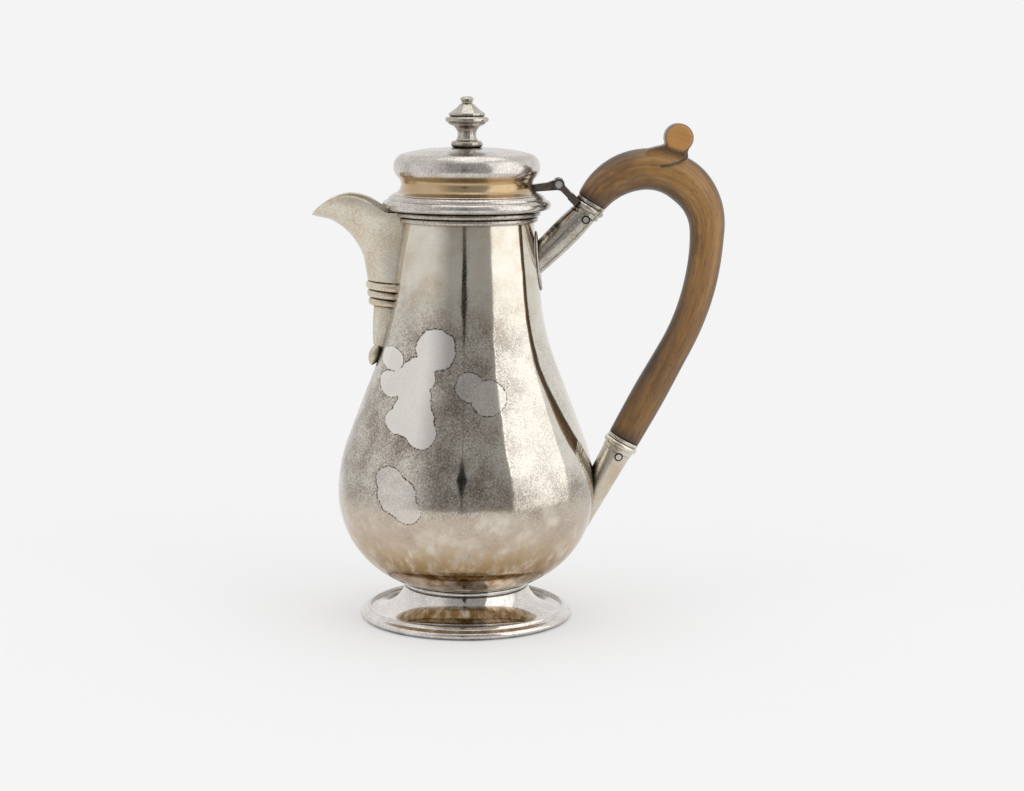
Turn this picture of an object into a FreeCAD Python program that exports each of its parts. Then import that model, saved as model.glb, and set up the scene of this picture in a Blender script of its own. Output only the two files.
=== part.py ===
import FreeCAD, Part
import math
import os
import Sketcher
from FreeCAD import Placement, Rotation, Vector

# Covered coffee pot of silver sheet with a hinged lid and a pinned wooden handle.
# Millimetres. Origin on the table under the foot's centre, +Z up, spout to -X, handle to +X.

SIZES = {
    # Foot
    "foot_radius": 45.2,
    "foot_rim_width": 3.4,
    "foot_rim_tuck": 1.7,
    "foot_wire_middle": 1.6,
    "foot_wire_height": 3.4,
    "foot_wire_in": 1.9,
    "foot_cove": 0.5,
    "foot_rim_height": 3.8,
    "foot_lip": 1.2,
    "foot_height": 13.4,
    "foot_curve_in": 4.3,
    "foot_curve_up": 3.0,
    "stem_radius": 26.2,
    "collet_height": 2.4,
    "collet_bulge": 0.8,
    "sheet": 0.9,
    # Body and rim
    "base_radius": 26.8,
    "belly_radius": 54.3,
    "belly_height": 54.2,
    "shoulder_radius": 63.8,
    "shoulder_slope": 21.0,
    "waist_radius": 100.0,
    "neck_radius": 27.8,
    "neck_taper": 5.4,
    "rim_height": 173.1,
    "wall": 0.9,
    "rim_depth": 4.8,
    "reed_root": 0.9,
    "lower_reed": 2.0,
    "upper_reed": 3.0,
    "rim_stop_gap": 0.1,
    "window_width": 12.0,
    "window_height": 15.0,
    "window_drop": 25.6,
    # Spout: drop below the rim or rise from the last section, reach from the pot's axis and half width
    "spout_root": 28.0,
    "spout_wall": 1.0,
    "spout_base_drop": 29.6,
    "spout_base_reach": 41.4,
    "spout_base_half": 8.6,
    "throat_rise": 12.5,
    "throat_reach": 44.1,
    "throat_half": 10.0,
    "bend_rise": 7.5,
    "bend_reach": 49.2,
    "bend_half": 11.0,
    "chin_rise": 4.8,
    "chin_reach": 55.6,
    "chin_half": 11.8,
    "tip_rise": 2.5,
    "tip_reach": 64.6,
    "tip_half": 12.2,
    "lip_flare": 2.0,
    "lip_flare_rise": 5.5,
    "lip_shoulder_back": 6.4,
    "lip_shoulder_rise": 6.0,
    "lip_peak_rise": 8.8,
    "lip_peak_reach": 49.5,
    "lip_slope_reach": 38.5,
    "lip_slope_rise": 3.1,
    "lip_slope_bow": 0.8,
    "lip_level_reach": 33.0,
    "lip_drop": 0.4,
    # Reeded band, drop and bead under the spout
    "band_tilt": 5.0,
    "reed_half_height": 1.7,
    "reed_round": 1.1,
    "reed_reach": 42.3,
    "reed_reach_step": 0.55,
    "reed_half_width": 9.7,
    "reed_width_step": 1.8,
    "drop_top_reach": 39.0,
    "drop_top_half": 4.0,
    "drop_length": 16.6,
    "drop_foot_out": 4.12,
    "drop_foot_half": 2.1,
    "drop_foot_stretch": 2.4,
    "drop_swell": 0.3,
    "bead_set": 0.5,
    "bead_out": 2.08,
    "bead_radius": 2.3,
    "bead_length": 9.8,
    "bead_tip": 0.3,
    # Handle: an arc over the top, an arc down the back, then straight to the lower socket
    "handle_out": 21.25,
    "handle_top_rise": 17.35,
    "handle_left_radius": 27.0,
    "handle_left_sweep": 60.5,
    "handle_right_radius": 24.75,
    "handle_back_radius": 105.0,
    "handle_back_sweep": 28.4,
    "handle_straight": 44.1,
    "handle_flat": 0.5,
    "upper_end_half": 6.5,
    "crest_half": 8.62,
    "shoulder_half": 9.0,
    "bend_back_half": 7.35,
    "bend_low_half": 6.6,
    "shank_half": 7.1,
    "lower_end_half": 6.8,
    "scroll_radius": 5.95,
    "scroll_width": 13.4,
    "scroll_round": 1.6,
    "scroll_angle": 72.1,
    "scroll_lift": 5.9,
    "curl_reach": 4.9,
    "curl_drop": 4.65,
    "curl_run": 6.4,
    "curl_fall": 4.0,
    "curl_notch": 0.8,
    "tenon_radius": 4.0,
    "tenon_length": 9.0,
    "tenon_clearance": 0.1,
    # Sockets, their collars and the handle pins
    "collar_length": 6.2,
    "collar_rise": 0.7,
    "collar_bead": 1.3,
    "collar_groove": 0.5,
    "collar_land": 0.3,
    "upper_socket_radius": 5.7,
    "upper_socket_set": 0.6,
    "upper_socket_mid_x": 42.55,
    "upper_socket_mid_drop": 7.7,
    "upper_socket_mid_radius": 5.95,
    "upper_socket_root_x": 25.75,
    "upper_socket_root_drop": 24.45,
    "upper_socket_root_radius": 5.2,
    "pad_drop": 21.1,
    "pad_half_length": 12.5,
    "pad_half_width": 6.6,
    "pad_thickness": 0.9,
    "lower_socket_radius": 6.25,
    "lower_socket_length": 40.0,
    "lower_socket_foot_radius": 6.5,
    "handle_pin_radius": 1.2,
    "handle_pin_set": 7.5,
    "handle_pin_offset": 1.3,
    "handle_pin_proud": 0.25,
    # Lid hinge
    "hinge_x": 38.2,
    "hinge_rise": 11.0,
    "hinge_pin_radius": 1.2,
    "hinge_pin_head": 1.5,
    "hinge_pin_head_height": 0.5,
    "hinge_clearance": 0.05,
    "knuckle_radius": 2.5,
    "fork_width": 12.4,
    "fork_slot": 6.4,
    "fork_depth": 5.2,
    "strap_half": 1.3,
    "strap_block_half": 1.65,
    "strap_step": 6.8,
    "bracket_set": 3.4,
    "bracket_side": 5.0,
    "lug_clearance": 0.2,
    "lug_arm_rise": 0.6,
    "lug_arm_fall": 0.9,
    "knuckle_ease": 0.1,
    # Lid
    "lid_gap": 0.2,
    "flange_height": 6.1,
    "flange_radius": 35.1,
    "flange_foot": 33.0,
    "flange_middle": 2.2,
    "flange_groove": 33.3,
    "flange_groove_height": 4.1,
    "flange_step": 0.4,
    "flange_bow": 0.5,
    "bezel_gap": 0.5,
    "bezel_depth": 4.6,
    "bezel_taper": 1.0,
    "dome_foot": 31.2,
    "dome_foot_step": 0.5,
    "lid_waist_radius": 27.45,
    "lid_waist_height": 4.2,
    "cap_radius": 30.5,
    "cap_height": 11.4,
    "cap_edge": 27.4,
    "cap_edge_height": 16.8,
    "cap_flat": 7.5,
    "cap_bow": 0.8,
    "dome_height": 19.4,
    # Finial
    "seat_radius": 6.65,
    "seat_height": 3.1,
    "seat_lip": 1.3,
    "knob_height": 18.1,
    "knob_neck": 3.86,
    "knob_neck_height": 2.3,
    "knob_flare": 0.8,
    "knob_ring": 7.8,
    "knob_ring_height": 6.7,
    "knob_disc": 9.1,
    "knob_disc_height": 8.65,
    "knob_bevel": 0.4,
    "knob_step": 7.6,
    "knob_step_height": 11.2,
    "knob_tip": 3.0,
    "knob_tip_height": 14.8,
    "knob_tip_groove": 0.9,
    "button_radius": 2.9,
    "button_middle": 2.2,
    "button_top": 0.5,
    "stud_radius": 1.5,
    "stud_length": 5.2,
    "stud_clearance": 0.1,
    "washer_radius": 4.5,
    "washer_thickness": 0.8,
    "nut_radius": 3.4,
    "nut_height": 2.4,
}


class Size:
    """A length or an angle: its present value and the expression that gives it."""

    def __init__(self, value, text):
        self.value = value
        self.text = text

    def joined(self, other, sign, value):
        return Size(value, f"({self.text} {sign} {other.text})")

    def __add__(self, other):
        other = as_size(other)
        return self.joined(other, "+", self.value + other.value)

    def __sub__(self, other):
        other = as_size(other)
        return self.joined(other, "-", self.value - other.value)

    def __mul__(self, other):
        other = as_size(other)
        return self.joined(other, "*", self.value * other.value)

    def __truediv__(self, other):
        other = as_size(other)
        return self.joined(other, "/", self.value / other.value)

    def __rsub__(self, other):
        return as_size(other) - self

    def __neg__(self):
        return as_size(0) - self


def as_size(amount):
    return amount if isinstance(amount, Size) else Size(float(amount), repr(float(amount)))


def sine(angle):
    angle = as_size(angle)
    return Size(math.sin(math.radians(angle.value)), f"sin({angle.text} * 1 deg)")


def cosine(angle):
    angle = as_size(angle)
    return Size(math.cos(math.radians(angle.value)), f"cos({angle.text} * 1 deg)")


def lean_of(dx, dz):
    """Angle of the direction (dx, dz) from upright, positive towards +X."""
    return Size(math.degrees(math.atan2(dx.value, dz.value)), f"(atan2({dx.text}; {dz.text}) / 1 deg)")


def length_of(dx, dz):
    return Size(math.hypot(dx.value, dz.value), f"sqrt({(dx * dx + dz * dz).text})")


def between(first, second, share):
    return first + (second - first) * share


class Sheet:
    """The driving sizes, by name."""


doc = FreeCAD.newDocument("CoffeePot")
sheet = doc.addObject("Spreadsheet::Sheet", "Sizes")
d = Sheet()
for row, (name, value) in enumerate(SIZES.items(), 1):
    sheet.set(f"A{row}", name)
    sheet.set(f"B{row}", str(value))
    sheet.setAlias(f"B{row}", name)
    setattr(d, name, Size(value, f"Sizes.{name}"))
doc.recompute()

NODES = []
RIGHT_ANGLE = 90
UPRIGHT_TURN = Rotation(Vector(0, 1, 0), 1)
ALONG_Y = Rotation(Vector(1, 0, 0), -RIGHT_ANGLE)
ACROSS = Rotation(Vector(1, 0, 0), RIGHT_ANGLE)
SLANT = math.sqrt(0.5)
HALF = 0.5
# Where a hollow curve turns, as shares of its way out and up
TURN_OUT = 0.36
TURN_UP = 0.42
# Heights on a collar, as shares of its length down from the wood
BAND_FOOT = 0.2
BEAD_TOP = 0.25
BEAD_MIDDLE = 0.48
BEAD_FOOT = 0.7
LAND_TOP = 0.75


def bind(thing, prop, amount, unit=""):
    thing.setExpression(prop, as_size(amount).text + unit)


def place(thing, x, z, lean):
    """Put a thing at (x, z) in the XZ plane, its own upright leaning towards +X."""
    thing.Placement = Placement(Vector(), UPRIGHT_TURN)
    bind(thing, "Placement.Base.x", x)
    bind(thing, "Placement.Base.z", z)
    bind(thing, "Placement.Rotation.Angle", lean, " * 1 deg")


def node(thing, label):
    """Mark a finished sub-part."""
    thing.Label = label
    NODES.append(thing)
    return thing


# Sketch outlines

def point(x, z):
    return Vector(as_size(x).value, as_size(z).value, 0)


def constrain(sketch, constraint, amount, unit=""):
    index = sketch.addConstraint(constraint)
    sketch.setExpression(f"Constraints[{index}]", as_size(amount).text + unit)


def fix(sketch, geometry, position, x, z):
    """Hold a point of the sketch at (x, z)."""
    for kind, axis, amount in (("DistanceX", -2, as_size(x)), ("DistanceY", -1, as_size(z))):
        if amount.value == 0:
            sketch.addConstraint(Sketcher.Constraint("PointOnObject", geometry, position, axis))
        else:
            constrain(sketch, Sketcher.Constraint(kind, -1, 1, geometry, position, amount.value), amount)


def outline(sketch, path):
    """Draw a closed outline of corners (x, z); with four entries, by an arc through the last two."""
    pieces = []
    for start, step in zip(path, path[1:] + path[:1]):
        a = point(*start[:2])
        b = point(*step[:2])
        if len(step) == 2:
            pieces.append((sketch.addGeometry(Part.LineSegment(a, b)), 1, 2))
            continue
        via = point(*step[2:])
        arc = sketch.addGeometry(Part.Arc(a, via, b))
        leftward = (via - a).cross(b - via).z > 0
        pieces.append((arc, 1, 2) if leftward else (arc, 2, 1))
        middle = sketch.addGeometry(Part.Point(via), True)
        fix(sketch, middle, 1, *step[2:])
        sketch.addConstraint(Sketcher.Constraint("PointOnObject", middle, 1, arc))
    for here, after, step in zip(pieces, pieces[1:] + pieces[:1], path[1:] + path[:1]):
        fix(sketch, here[0], here[2], *step[:2])
        sketch.addConstraint(Sketcher.Constraint("Coincident", here[0], here[2], after[0], after[1]))


def body_sketch(body, name):
    sketch = body.newObject("Sketcher::SketchObject", name)
    plane = next(f for f in body.Origin.OriginFeatures if f.Role == "XZ_Plane")
    sketch.AttachmentSupport = [(plane, "")]
    sketch.MapMode = "FlatFace"
    return sketch


def turned(name, path):
    """A piece turned about its own upright axis."""
    body = doc.addObject("PartDesign::Body", name)
    sketch = body_sketch(body, name + "_profile")
    outline(sketch, path)
    turn = body.newObject("PartDesign::Revolution", name + "_turn")
    turn.Profile = sketch
    turn.ReferenceAxis = (sketch, ["V_Axis"])
    turn.Angle = 360
    return body


def slab(name, path, width):
    """A piece of one side outline, as thick as width, centred on the XZ plane."""
    body = doc.addObject("PartDesign::Body", name)
    sketch = body_sketch(body, name + "_side")
    outline(sketch, path)
    pad = body.newObject("PartDesign::Pad", name + "_pad")
    pad.Profile = sketch
    pad.SideType = "Symmetric"
    bind(pad, "Length", width)
    return body


def pocket(body, name, draw, width):
    """Cut a side outline out of a slab, centred on the XZ plane."""
    sketch = body_sketch(body, name + "_side")
    draw(sketch)
    cutter = body.newObject("PartDesign::Pocket", name)
    cutter.Profile = sketch
    cutter.SideType = "Symmetric"
    bind(cutter, "Length", width)


def bore(body, name, x, z, radius, width):
    """Drill a slab across, from side to side."""
    def draw(sketch):
        circle = sketch.addGeometry(Part.Circle(point(x, z), Vector(0, 0, 1), radius.value))
        fix(sketch, circle, 3, x, z)
        constrain(sketch, Sketcher.Constraint("Radius", circle, radius.value), radius)
    pocket(body, name, draw, width)


# Solids and their cuts

def ellipse(name, x, z, major, minor, lean):
    curve = doc.addObject("Part::Ellipse", name)
    bind(curve, "MajorRadius", major)
    bind(curve, "MinorRadius", minor)
    place(curve, x, z, lean)
    return curve


def loft(name, curves):
    skin = doc.addObject("Part::Loft", name)
    skin.Sections = curves
    skin.Solid = True
    return skin


def cylinder(name, radius, height, x, z, lean):
    rod = doc.addObject("Part::Cylinder", name)
    bind(rod, "Radius", radius)
    bind(rod, "Height", height)
    place(rod, x, z, lean)
    return rod


def cross_rod(name, radius, length, x, z):
    """A rod across the pot, along Y, centred on the XZ plane."""
    rod = doc.addObject("Part::Cylinder", name)
    rod.Placement = Placement(Vector(), ALONG_Y)
    bind(rod, "Radius", radius)
    bind(rod, "Height", length)
    bind(rod, "Placement.Base.x", x)
    bind(rod, "Placement.Base.y", -length / 2)
    bind(rod, "Placement.Base.z", z)
    return rod


def cut(name, base, *tools):
    for count, tool in enumerate(tools, 1):
        result = doc.addObject("Part::Cut", name if count == len(tools) else f"{name}_cut_{count}")
        result.Base = base
        result.Tool = tool
        base = result
    return base


def fuse(name, *shapes):
    whole = doc.addObject("Part::MultiFuse", name)
    whole.Shapes = list(shapes)
    return whole


# Body: bowl, shoulder, slope, waist and neck run tangent into each other

base_z = d.foot_height + d.collet_height


def pot_reach(z):
    """Radius of the pot at height z above the shoulder: slope and neck, joined by a hyperbola."""
    start_r = d.belly_radius - d.shoulder_radius + d.shoulder_radius * cosine(d.shoulder_slope)
    start_z = d.belly_height + d.shoulder_radius * sine(d.shoulder_slope)
    slope_r = start_r - (z - start_z) * sine(d.shoulder_slope) / cosine(d.shoulder_slope)
    neck_r = d.neck_radius + (d.rim_height - z) * sine(d.neck_taper) / cosine(d.neck_taper)
    bend = (d.shoulder_slope - d.neck_taper) / 2
    lean = (d.shoulder_slope + d.neck_taper) / 2
    corner_gap = d.waist_radius * (1 - cosine(bend)) / cosine(bend) / cosine(lean)
    return between(slope_r, neck_r, HALF) + length_of((slope_r - neck_r) / 2, corner_gap)


def pot_form(name, inset):
    """Solid of the body's outer surface, moved inwards by inset."""
    sketch = doc.addObject("Sketcher::SketchObject", name + "_profile")
    sketch.Placement = Placement(Vector(), ACROSS)
    base_r = d.base_radius - inset
    low = base_z + inset
    belly_r = d.belly_radius - inset
    shoulder_r = d.shoulder_radius - inset
    waist_r = d.waist_radius + inset
    neck_r = d.neck_radius - inset
    top = d.rim_height.value
    belly = Vector(belly_r.value, d.belly_height.value, 0)
    fall = belly.y - low.value
    bowl_x = (belly.x ** 2 - base_r.value ** 2 - fall ** 2) / (2 * (belly.x - base_r.value))
    slope = math.radians(d.shoulder_slope.value)
    taper = math.radians(d.neck_taper.value)
    up_slope = Vector(-math.sin(slope), math.cos(slope), 0)
    up_neck = Vector(-math.sin(taper), math.cos(taper), 0)
    shoulder_centre = Vector(belly.x - shoulder_r.value, belly.y, 0)
    slope_start = shoulder_centre + Vector(math.cos(slope), math.sin(slope), 0) * shoulder_r.value
    neck_top = Vector(neck_r.value, top, 0)
    gap = neck_top - slope_start
    run = (gap.x * up_neck.y - gap.y * up_neck.x) / (up_slope.x * up_neck.y - up_slope.y * up_neck.x)
    corner = slope_start + up_slope * run
    reach = waist_r.value * math.tan((slope - taper) / 2)
    slope_end = corner - up_slope * reach
    neck_start = corner + up_neck * reach
    waist_centre = slope_end + Vector(math.cos(slope), math.sin(slope), 0) * waist_r.value
    floor_edge = Vector(base_r.value, low.value, 0)
    bowl_start = math.atan2(low.value - belly.y, base_r.value - bowl_x)
    up = Vector(0, 0, 1)
    axis = sketch.addGeometry(Part.LineSegment(Vector(0, top, 0), Vector(0, low.value, 0)))
    floor = sketch.addGeometry(Part.LineSegment(Vector(0, low.value, 0), floor_edge))
    bowl_circle = Part.Circle(Vector(bowl_x, belly.y, 0), up, belly.x - bowl_x)
    bowl = sketch.addGeometry(Part.ArcOfCircle(bowl_circle, bowl_start, 0))
    shoulder_circle = Part.Circle(shoulder_centre, up, shoulder_r.value)
    shoulder = sketch.addGeometry(Part.ArcOfCircle(shoulder_circle, 0, slope))
    side = sketch.addGeometry(Part.LineSegment(slope_start, slope_end))
    waist_circle = Part.Circle(waist_centre, up, waist_r.value)
    waist = sketch.addGeometry(Part.ArcOfCircle(waist_circle, math.pi + taper, math.pi + slope))
    neck = sketch.addGeometry(Part.LineSegment(neck_start, neck_top))
    mouth = sketch.addGeometry(Part.LineSegment(neck_top, Vector(0, top, 0)))
    for kind, first, first_end, second, second_end in (
        ("Coincident", axis, 2, floor, 1),
        ("Coincident", floor, 2, bowl, 1),
        ("Coincident", bowl, 2, shoulder, 1),
        ("Tangent", shoulder, 2, side, 1),
        ("Tangent", side, 2, waist, 2),
        ("Tangent", waist, 1, neck, 1),
        ("Coincident", neck, 2, mouth, 1),
        ("Coincident", mouth, 2, axis, 1),
    ):
        sketch.addConstraint(Sketcher.Constraint(kind, first, first_end, second, second_end))
    fix(sketch, axis, 1, 0, d.rim_height)
    fix(sketch, axis, 2, 0, low)
    fix(sketch, floor, 2, base_r, low)
    fix(sketch, bowl, 2, belly_r, d.belly_height)
    fix(sketch, neck, 2, neck_r, d.rim_height)
    for arc in (bowl, shoulder):
        level = Sketcher.Constraint("DistanceY", -1, 1, arc, 3, belly.y)
        constrain(sketch, level, d.belly_height)
    constrain(sketch, Sketcher.Constraint("Radius", shoulder, shoulder_r.value), shoulder_r)
    constrain(sketch, Sketcher.Constraint("Radius", waist, waist_r.value), waist_r)
    for line, lean, amount in ((side, slope, d.shoulder_slope), (neck, taper, d.neck_taper)):
        tilt = Sketcher.Constraint("Angle", line, math.pi / 2 + lean)
        constrain(sketch, tilt, amount + RIGHT_ANGLE, " * 1 deg")
    form = doc.addObject("Part::Revolution", name)
    form.Source = sketch
    form.Axis = Vector(0, 0, 1)
    form.Angle = 360
    form.Solid = True
    return form


pot_outside = pot_form("pot_outside", as_size(0))
pot_inside = pot_form("pot_inside", d.wall)
pad_outside = pot_form("pad_outside", -d.pad_thickness)


def make_body():
    window = doc.addObject("Part::Box", "pouring_window")
    bind(window, "Length", d.belly_radius)
    bind(window, "Width", d.window_width)
    bind(window, "Height", d.window_height)
    bind(window, "Placement.Base.x", -d.belly_radius)
    bind(window, "Placement.Base.y", -d.window_width / 2)
    bind(window, "Placement.Base.z", d.rim_height - d.window_drop)
    node(cut("body_shell", pot_outside, pot_inside, window), "body_shell")


def make_rim():
    inside = d.neck_radius - d.wall
    low = d.rim_height - d.rim_depth
    groove = d.rim_height - d.rim_depth / 2
    lower_root = d.neck_radius + d.reed_root
    upper_root = lower_root + d.upper_reed - d.lower_reed
    blank = turned("rim_blank", [
        (inside, low),
        (lower_root, low),
        (lower_root, groove, d.neck_radius + d.lower_reed, between(low, groove, HALF)),
        (upper_root, groove),
        (upper_root, d.rim_height, d.neck_radius + d.upper_reed, between(groove, d.rim_height, HALF)),
        (inside, d.rim_height),
    ])
    notch_half = d.tip_half + d.rim_stop_gap
    notch = doc.addObject("Part::Box", "rim_notch")
    bind(notch, "Length", d.tip_reach)
    bind(notch, "Width", notch_half * 2)
    bind(notch, "Height", d.rim_depth * 2)
    bind(notch, "Placement.Base.x", -d.tip_reach)
    bind(notch, "Placement.Base.y", -notch_half)
    bind(notch, "Placement.Base.z", low - d.rim_depth / 2)
    node(cut("rim_moulding", blank, pot_outside, notch), "rim_moulding")


# Foot

def make_foot():
    rim_in = d.foot_radius - d.foot_rim_width
    top = d.foot_rim_height + d.foot_lip
    wire_top = d.foot_radius - d.foot_wire_in
    node(turned("foot_rim", [
        (rim_in, 0),
        (d.foot_radius - d.foot_rim_tuck, 0),
        (wire_top, d.foot_wire_height, d.foot_radius, d.foot_wire_middle),
        (rim_in, top, between(rim_in, wire_top, HALF) - d.foot_cove / 2,
         between(d.foot_wire_height, top, HALF) - d.foot_cove / 2),
    ]), "foot_rim")
    lip_in = rim_in - d.sheet
    curve_r = d.stem_radius + d.foot_curve_in
    curve_z = d.foot_rim_height + d.foot_curve_up
    lean_in = d.sheet * SLANT
    node(turned("foot_shell", [
        (rim_in, d.foot_rim_height / 2),
        (rim_in, top),
        (lip_in, top),
        (lip_in, d.foot_rim_height),
        (d.stem_radius, d.foot_height, curve_r, curve_z),
        (d.stem_radius - d.sheet, d.foot_height),
        (lip_in, d.foot_rim_height - d.sheet, curve_r - lean_in, curve_z - lean_in),
        (lip_in, d.foot_rim_height / 2),
    ]), "foot_shell")
    hole = d.stem_radius - d.sheet * 2
    node(turned("foot_collet", [
        (hole, d.foot_height),
        (d.stem_radius, d.foot_height),
        (d.base_radius, base_z, d.stem_radius + d.collet_bulge, d.foot_height + d.collet_height / 2),
        (hole, base_z),
    ]), "foot_collet")


# Spout: a beak of elliptical level sections, cut down to its lip and fitted to the neck

spout_base_z = d.rim_height - d.spout_base_drop
throat_z = spout_base_z + d.throat_rise
bend_z = throat_z + d.bend_rise
chin_z = bend_z + d.chin_rise
tip_z = chin_z + d.tip_rise


def spout_section(name, height, reach, half, tilt, inset):
    """Ellipse of that reach and half width, tilted nose up and smaller all round by inset."""
    major = (reach - d.spout_root) / cosine(tilt) - inset
    root_z = height - (d.spout_base_reach - d.spout_root) * sine(tilt) + inset
    return ellipse(name, -d.spout_root, root_z, major, half - inset, tilt)


def spout_loft(name, inset):
    flare_z = tip_z + d.lip_flare_rise
    flare = d.tip_reach + d.lip_flare
    levels = [
        (spout_base_z, d.spout_base_reach, d.spout_base_half, d.band_tilt),
        (throat_z, d.throat_reach, d.throat_half, as_size(0)),
        (bend_z, d.bend_reach, d.bend_half, as_size(0)),
        (chin_z, d.chin_reach, d.chin_half, as_size(0)),
        (tip_z, d.tip_reach, d.tip_half, as_size(0)),
        (flare_z, flare, d.tip_half, as_size(0)),
        (flare_z + d.lip_flare_rise, flare + d.lip_flare / 2, d.tip_half, as_size(0)),
    ]
    curves = [spout_section(f"{name}_{i}", *level, inset) for i, level in enumerate(levels)]
    return loft(name, curves)


def make_spout():
    lip_end = d.rim_height - d.lip_drop
    lip_peak = tip_z + d.lip_peak_rise
    lip_slope = d.rim_height + d.lip_slope_rise
    clear_top = lip_peak + d.tip_half
    sky = slab("spout_sky", [
        (-d.tip_reach - d.tip_half, tip_z),
        (-d.tip_reach, tip_z),
        (-d.lip_peak_reach, lip_peak, d.lip_shoulder_back - d.tip_reach, tip_z + d.lip_shoulder_rise),
        (-d.lip_slope_reach, lip_slope, -between(d.lip_peak_reach, d.lip_slope_reach, HALF),
         between(lip_peak, lip_slope, HALF) + d.lip_slope_bow),
        (-d.lip_level_reach, lip_end),
        (d.tip_reach, lip_end),
        (d.tip_reach, clear_top),
        (-d.tip_reach - d.tip_half, clear_top),
    ], d.tip_half * 4)
    outside = spout_loft("spout_outside", as_size(0))
    inside = spout_loft("spout_inside", d.spout_wall)
    node(cut("spout_shell", outside, inside, pot_outside, sky), "spout_shell")


def make_band():
    reeds = []
    for count in range(3):
        nose = spout_base_z - d.reed_half_height * (2 * count + 1)
        reach = d.reed_reach - d.reed_reach_step * count
        half = d.reed_half_width - d.reed_width_step * count
        curves = []
        for level, shrink in ((-1, d.reed_round), (0, as_size(0)), (1, d.reed_round)):
            curves.append(spout_section(f"reed_{count}_{level + 1}", nose + d.reed_half_height * level,
                                        reach - shrink, half - shrink, d.band_tilt, as_size(0)))
        reeds.append(loft(f"reed_{count}", curves))
    node(cut("spout_band", fuse("spout_reeds", *reeds), pot_outside), "spout_band")


def make_drop():
    top = spout_base_z - d.reed_half_height * 6
    foot_depth = d.drop_foot_half * d.drop_foot_stretch
    foot_z = top - d.drop_length
    foot_root = pot_reach(foot_z) + d.drop_foot_out - foot_depth
    top_depth = d.drop_top_reach - d.spout_root
    top_z = top - (d.spout_base_reach - d.spout_root) * sine(d.band_tilt)
    curves = [
        spout_section("drop_top", top, d.drop_top_reach, d.drop_top_half, d.band_tilt, as_size(0)),
        ellipse("drop_middle", -between(d.spout_root, foot_root, HALF), between(top_z, foot_z, HALF),
                between(top_depth, foot_depth, HALF) + d.drop_swell,
                between(d.drop_top_half, d.drop_foot_half, HALF), d.band_tilt),
        ellipse("drop_foot", -foot_root, foot_z, foot_depth, d.drop_foot_half, d.band_tilt),
    ]
    form = loft("drop_form", curves)
    node(cut("spout_drop", form, pot_outside), "spout_drop")
    half = d.bead_length / 2
    bead = turned("bead_form", [
        (0, -half),
        (d.bead_tip, -half),
        (d.bead_tip, half, d.bead_radius, 0),
        (0, half),
    ])
    bead_z = foot_z - half + d.bead_set
    place(bead, -pot_reach(bead_z) - d.bead_out, bead_z, d.shoulder_slope)
    node(cut("spout_bead", bead, pot_outside, form), "spout_bead")


# Handle path, worked out from the crest of the handle

handle_top_x = d.belly_radius + d.handle_out
handle_top_z = d.rim_height + d.handle_top_rise
crest_drop = handle_top_z - d.handle_right_radius
back_x = handle_top_x + d.handle_right_radius - d.handle_back_radius


class End:
    """An end of the handle: where its wood meets the collar, and the lean of its axis from upright."""

    def __init__(self, x, z, lean):
        self.x = x
        self.z = z
        self.lean = lean

    def at(self, out, up):
        """The point out from the axis, away from the pot, and up along it."""
        x = self.x + out * cosine(self.lean) + up * sine(self.lean)
        z = self.z - out * sine(self.lean) + up * cosine(self.lean)
        return x, z


upper_end = End(
    handle_top_x - d.handle_left_radius * sine(d.handle_left_sweep),
    handle_top_z - d.handle_left_radius + d.handle_left_radius * cosine(d.handle_left_sweep),
    RIGHT_ANGLE - d.handle_left_sweep,
)
shank_x = back_x + d.handle_back_radius * cosine(d.handle_back_sweep)
shank_z = crest_drop - d.handle_back_radius * sine(d.handle_back_sweep)
lower_end = End(
    shank_x - d.handle_straight * sine(d.handle_back_sweep),
    shank_z - d.handle_straight * cosine(d.handle_back_sweep),
    d.handle_back_sweep,
)


def handle_stations():
    """Centre, lean and half thickness of the handle's sections, from the lower end over the crest."""
    for share in (0.0, HALF):
        x = between(lower_end.x, shank_x, share)
        z = between(lower_end.z, shank_z, share)
        yield x, z, d.handle_back_sweep, between(d.lower_end_half, d.shank_half, share * 2)
    for share in (0.0, HALF):
        angle = d.handle_back_sweep * (1 - share)
        x = back_x + d.handle_back_radius * cosine(angle)
        z = crest_drop - d.handle_back_radius * sine(angle)
        yield x, z, angle, between(d.bend_low_half, d.bend_back_half, share * share)
    for angle, first, second, share in (
        (0, d.bend_back_half, d.shoulder_half, 0),
        (25, d.bend_back_half, d.shoulder_half, HALF),
        (50, d.bend_back_half, d.shoulder_half, 1),
        (72, d.shoulder_half, d.crest_half, HALF),
        (90, d.shoulder_half, d.crest_half, 1),
    ):
        x = handle_top_x + d.handle_right_radius * cosine(angle)
        z = crest_drop + d.handle_right_radius * sine(angle)
        yield x, z, as_size(-angle), between(first, second, share)
    for share in (0.34, 0.68, 1.0):
        angle = d.handle_left_sweep * share
        x = handle_top_x - d.handle_left_radius * sine(angle)
        z = handle_top_z - d.handle_left_radius + d.handle_left_radius * cosine(angle)
        yield x, z, as_size(-RIGHT_ANGLE) - angle, between(d.crest_half, d.upper_end_half, share * share)


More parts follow.
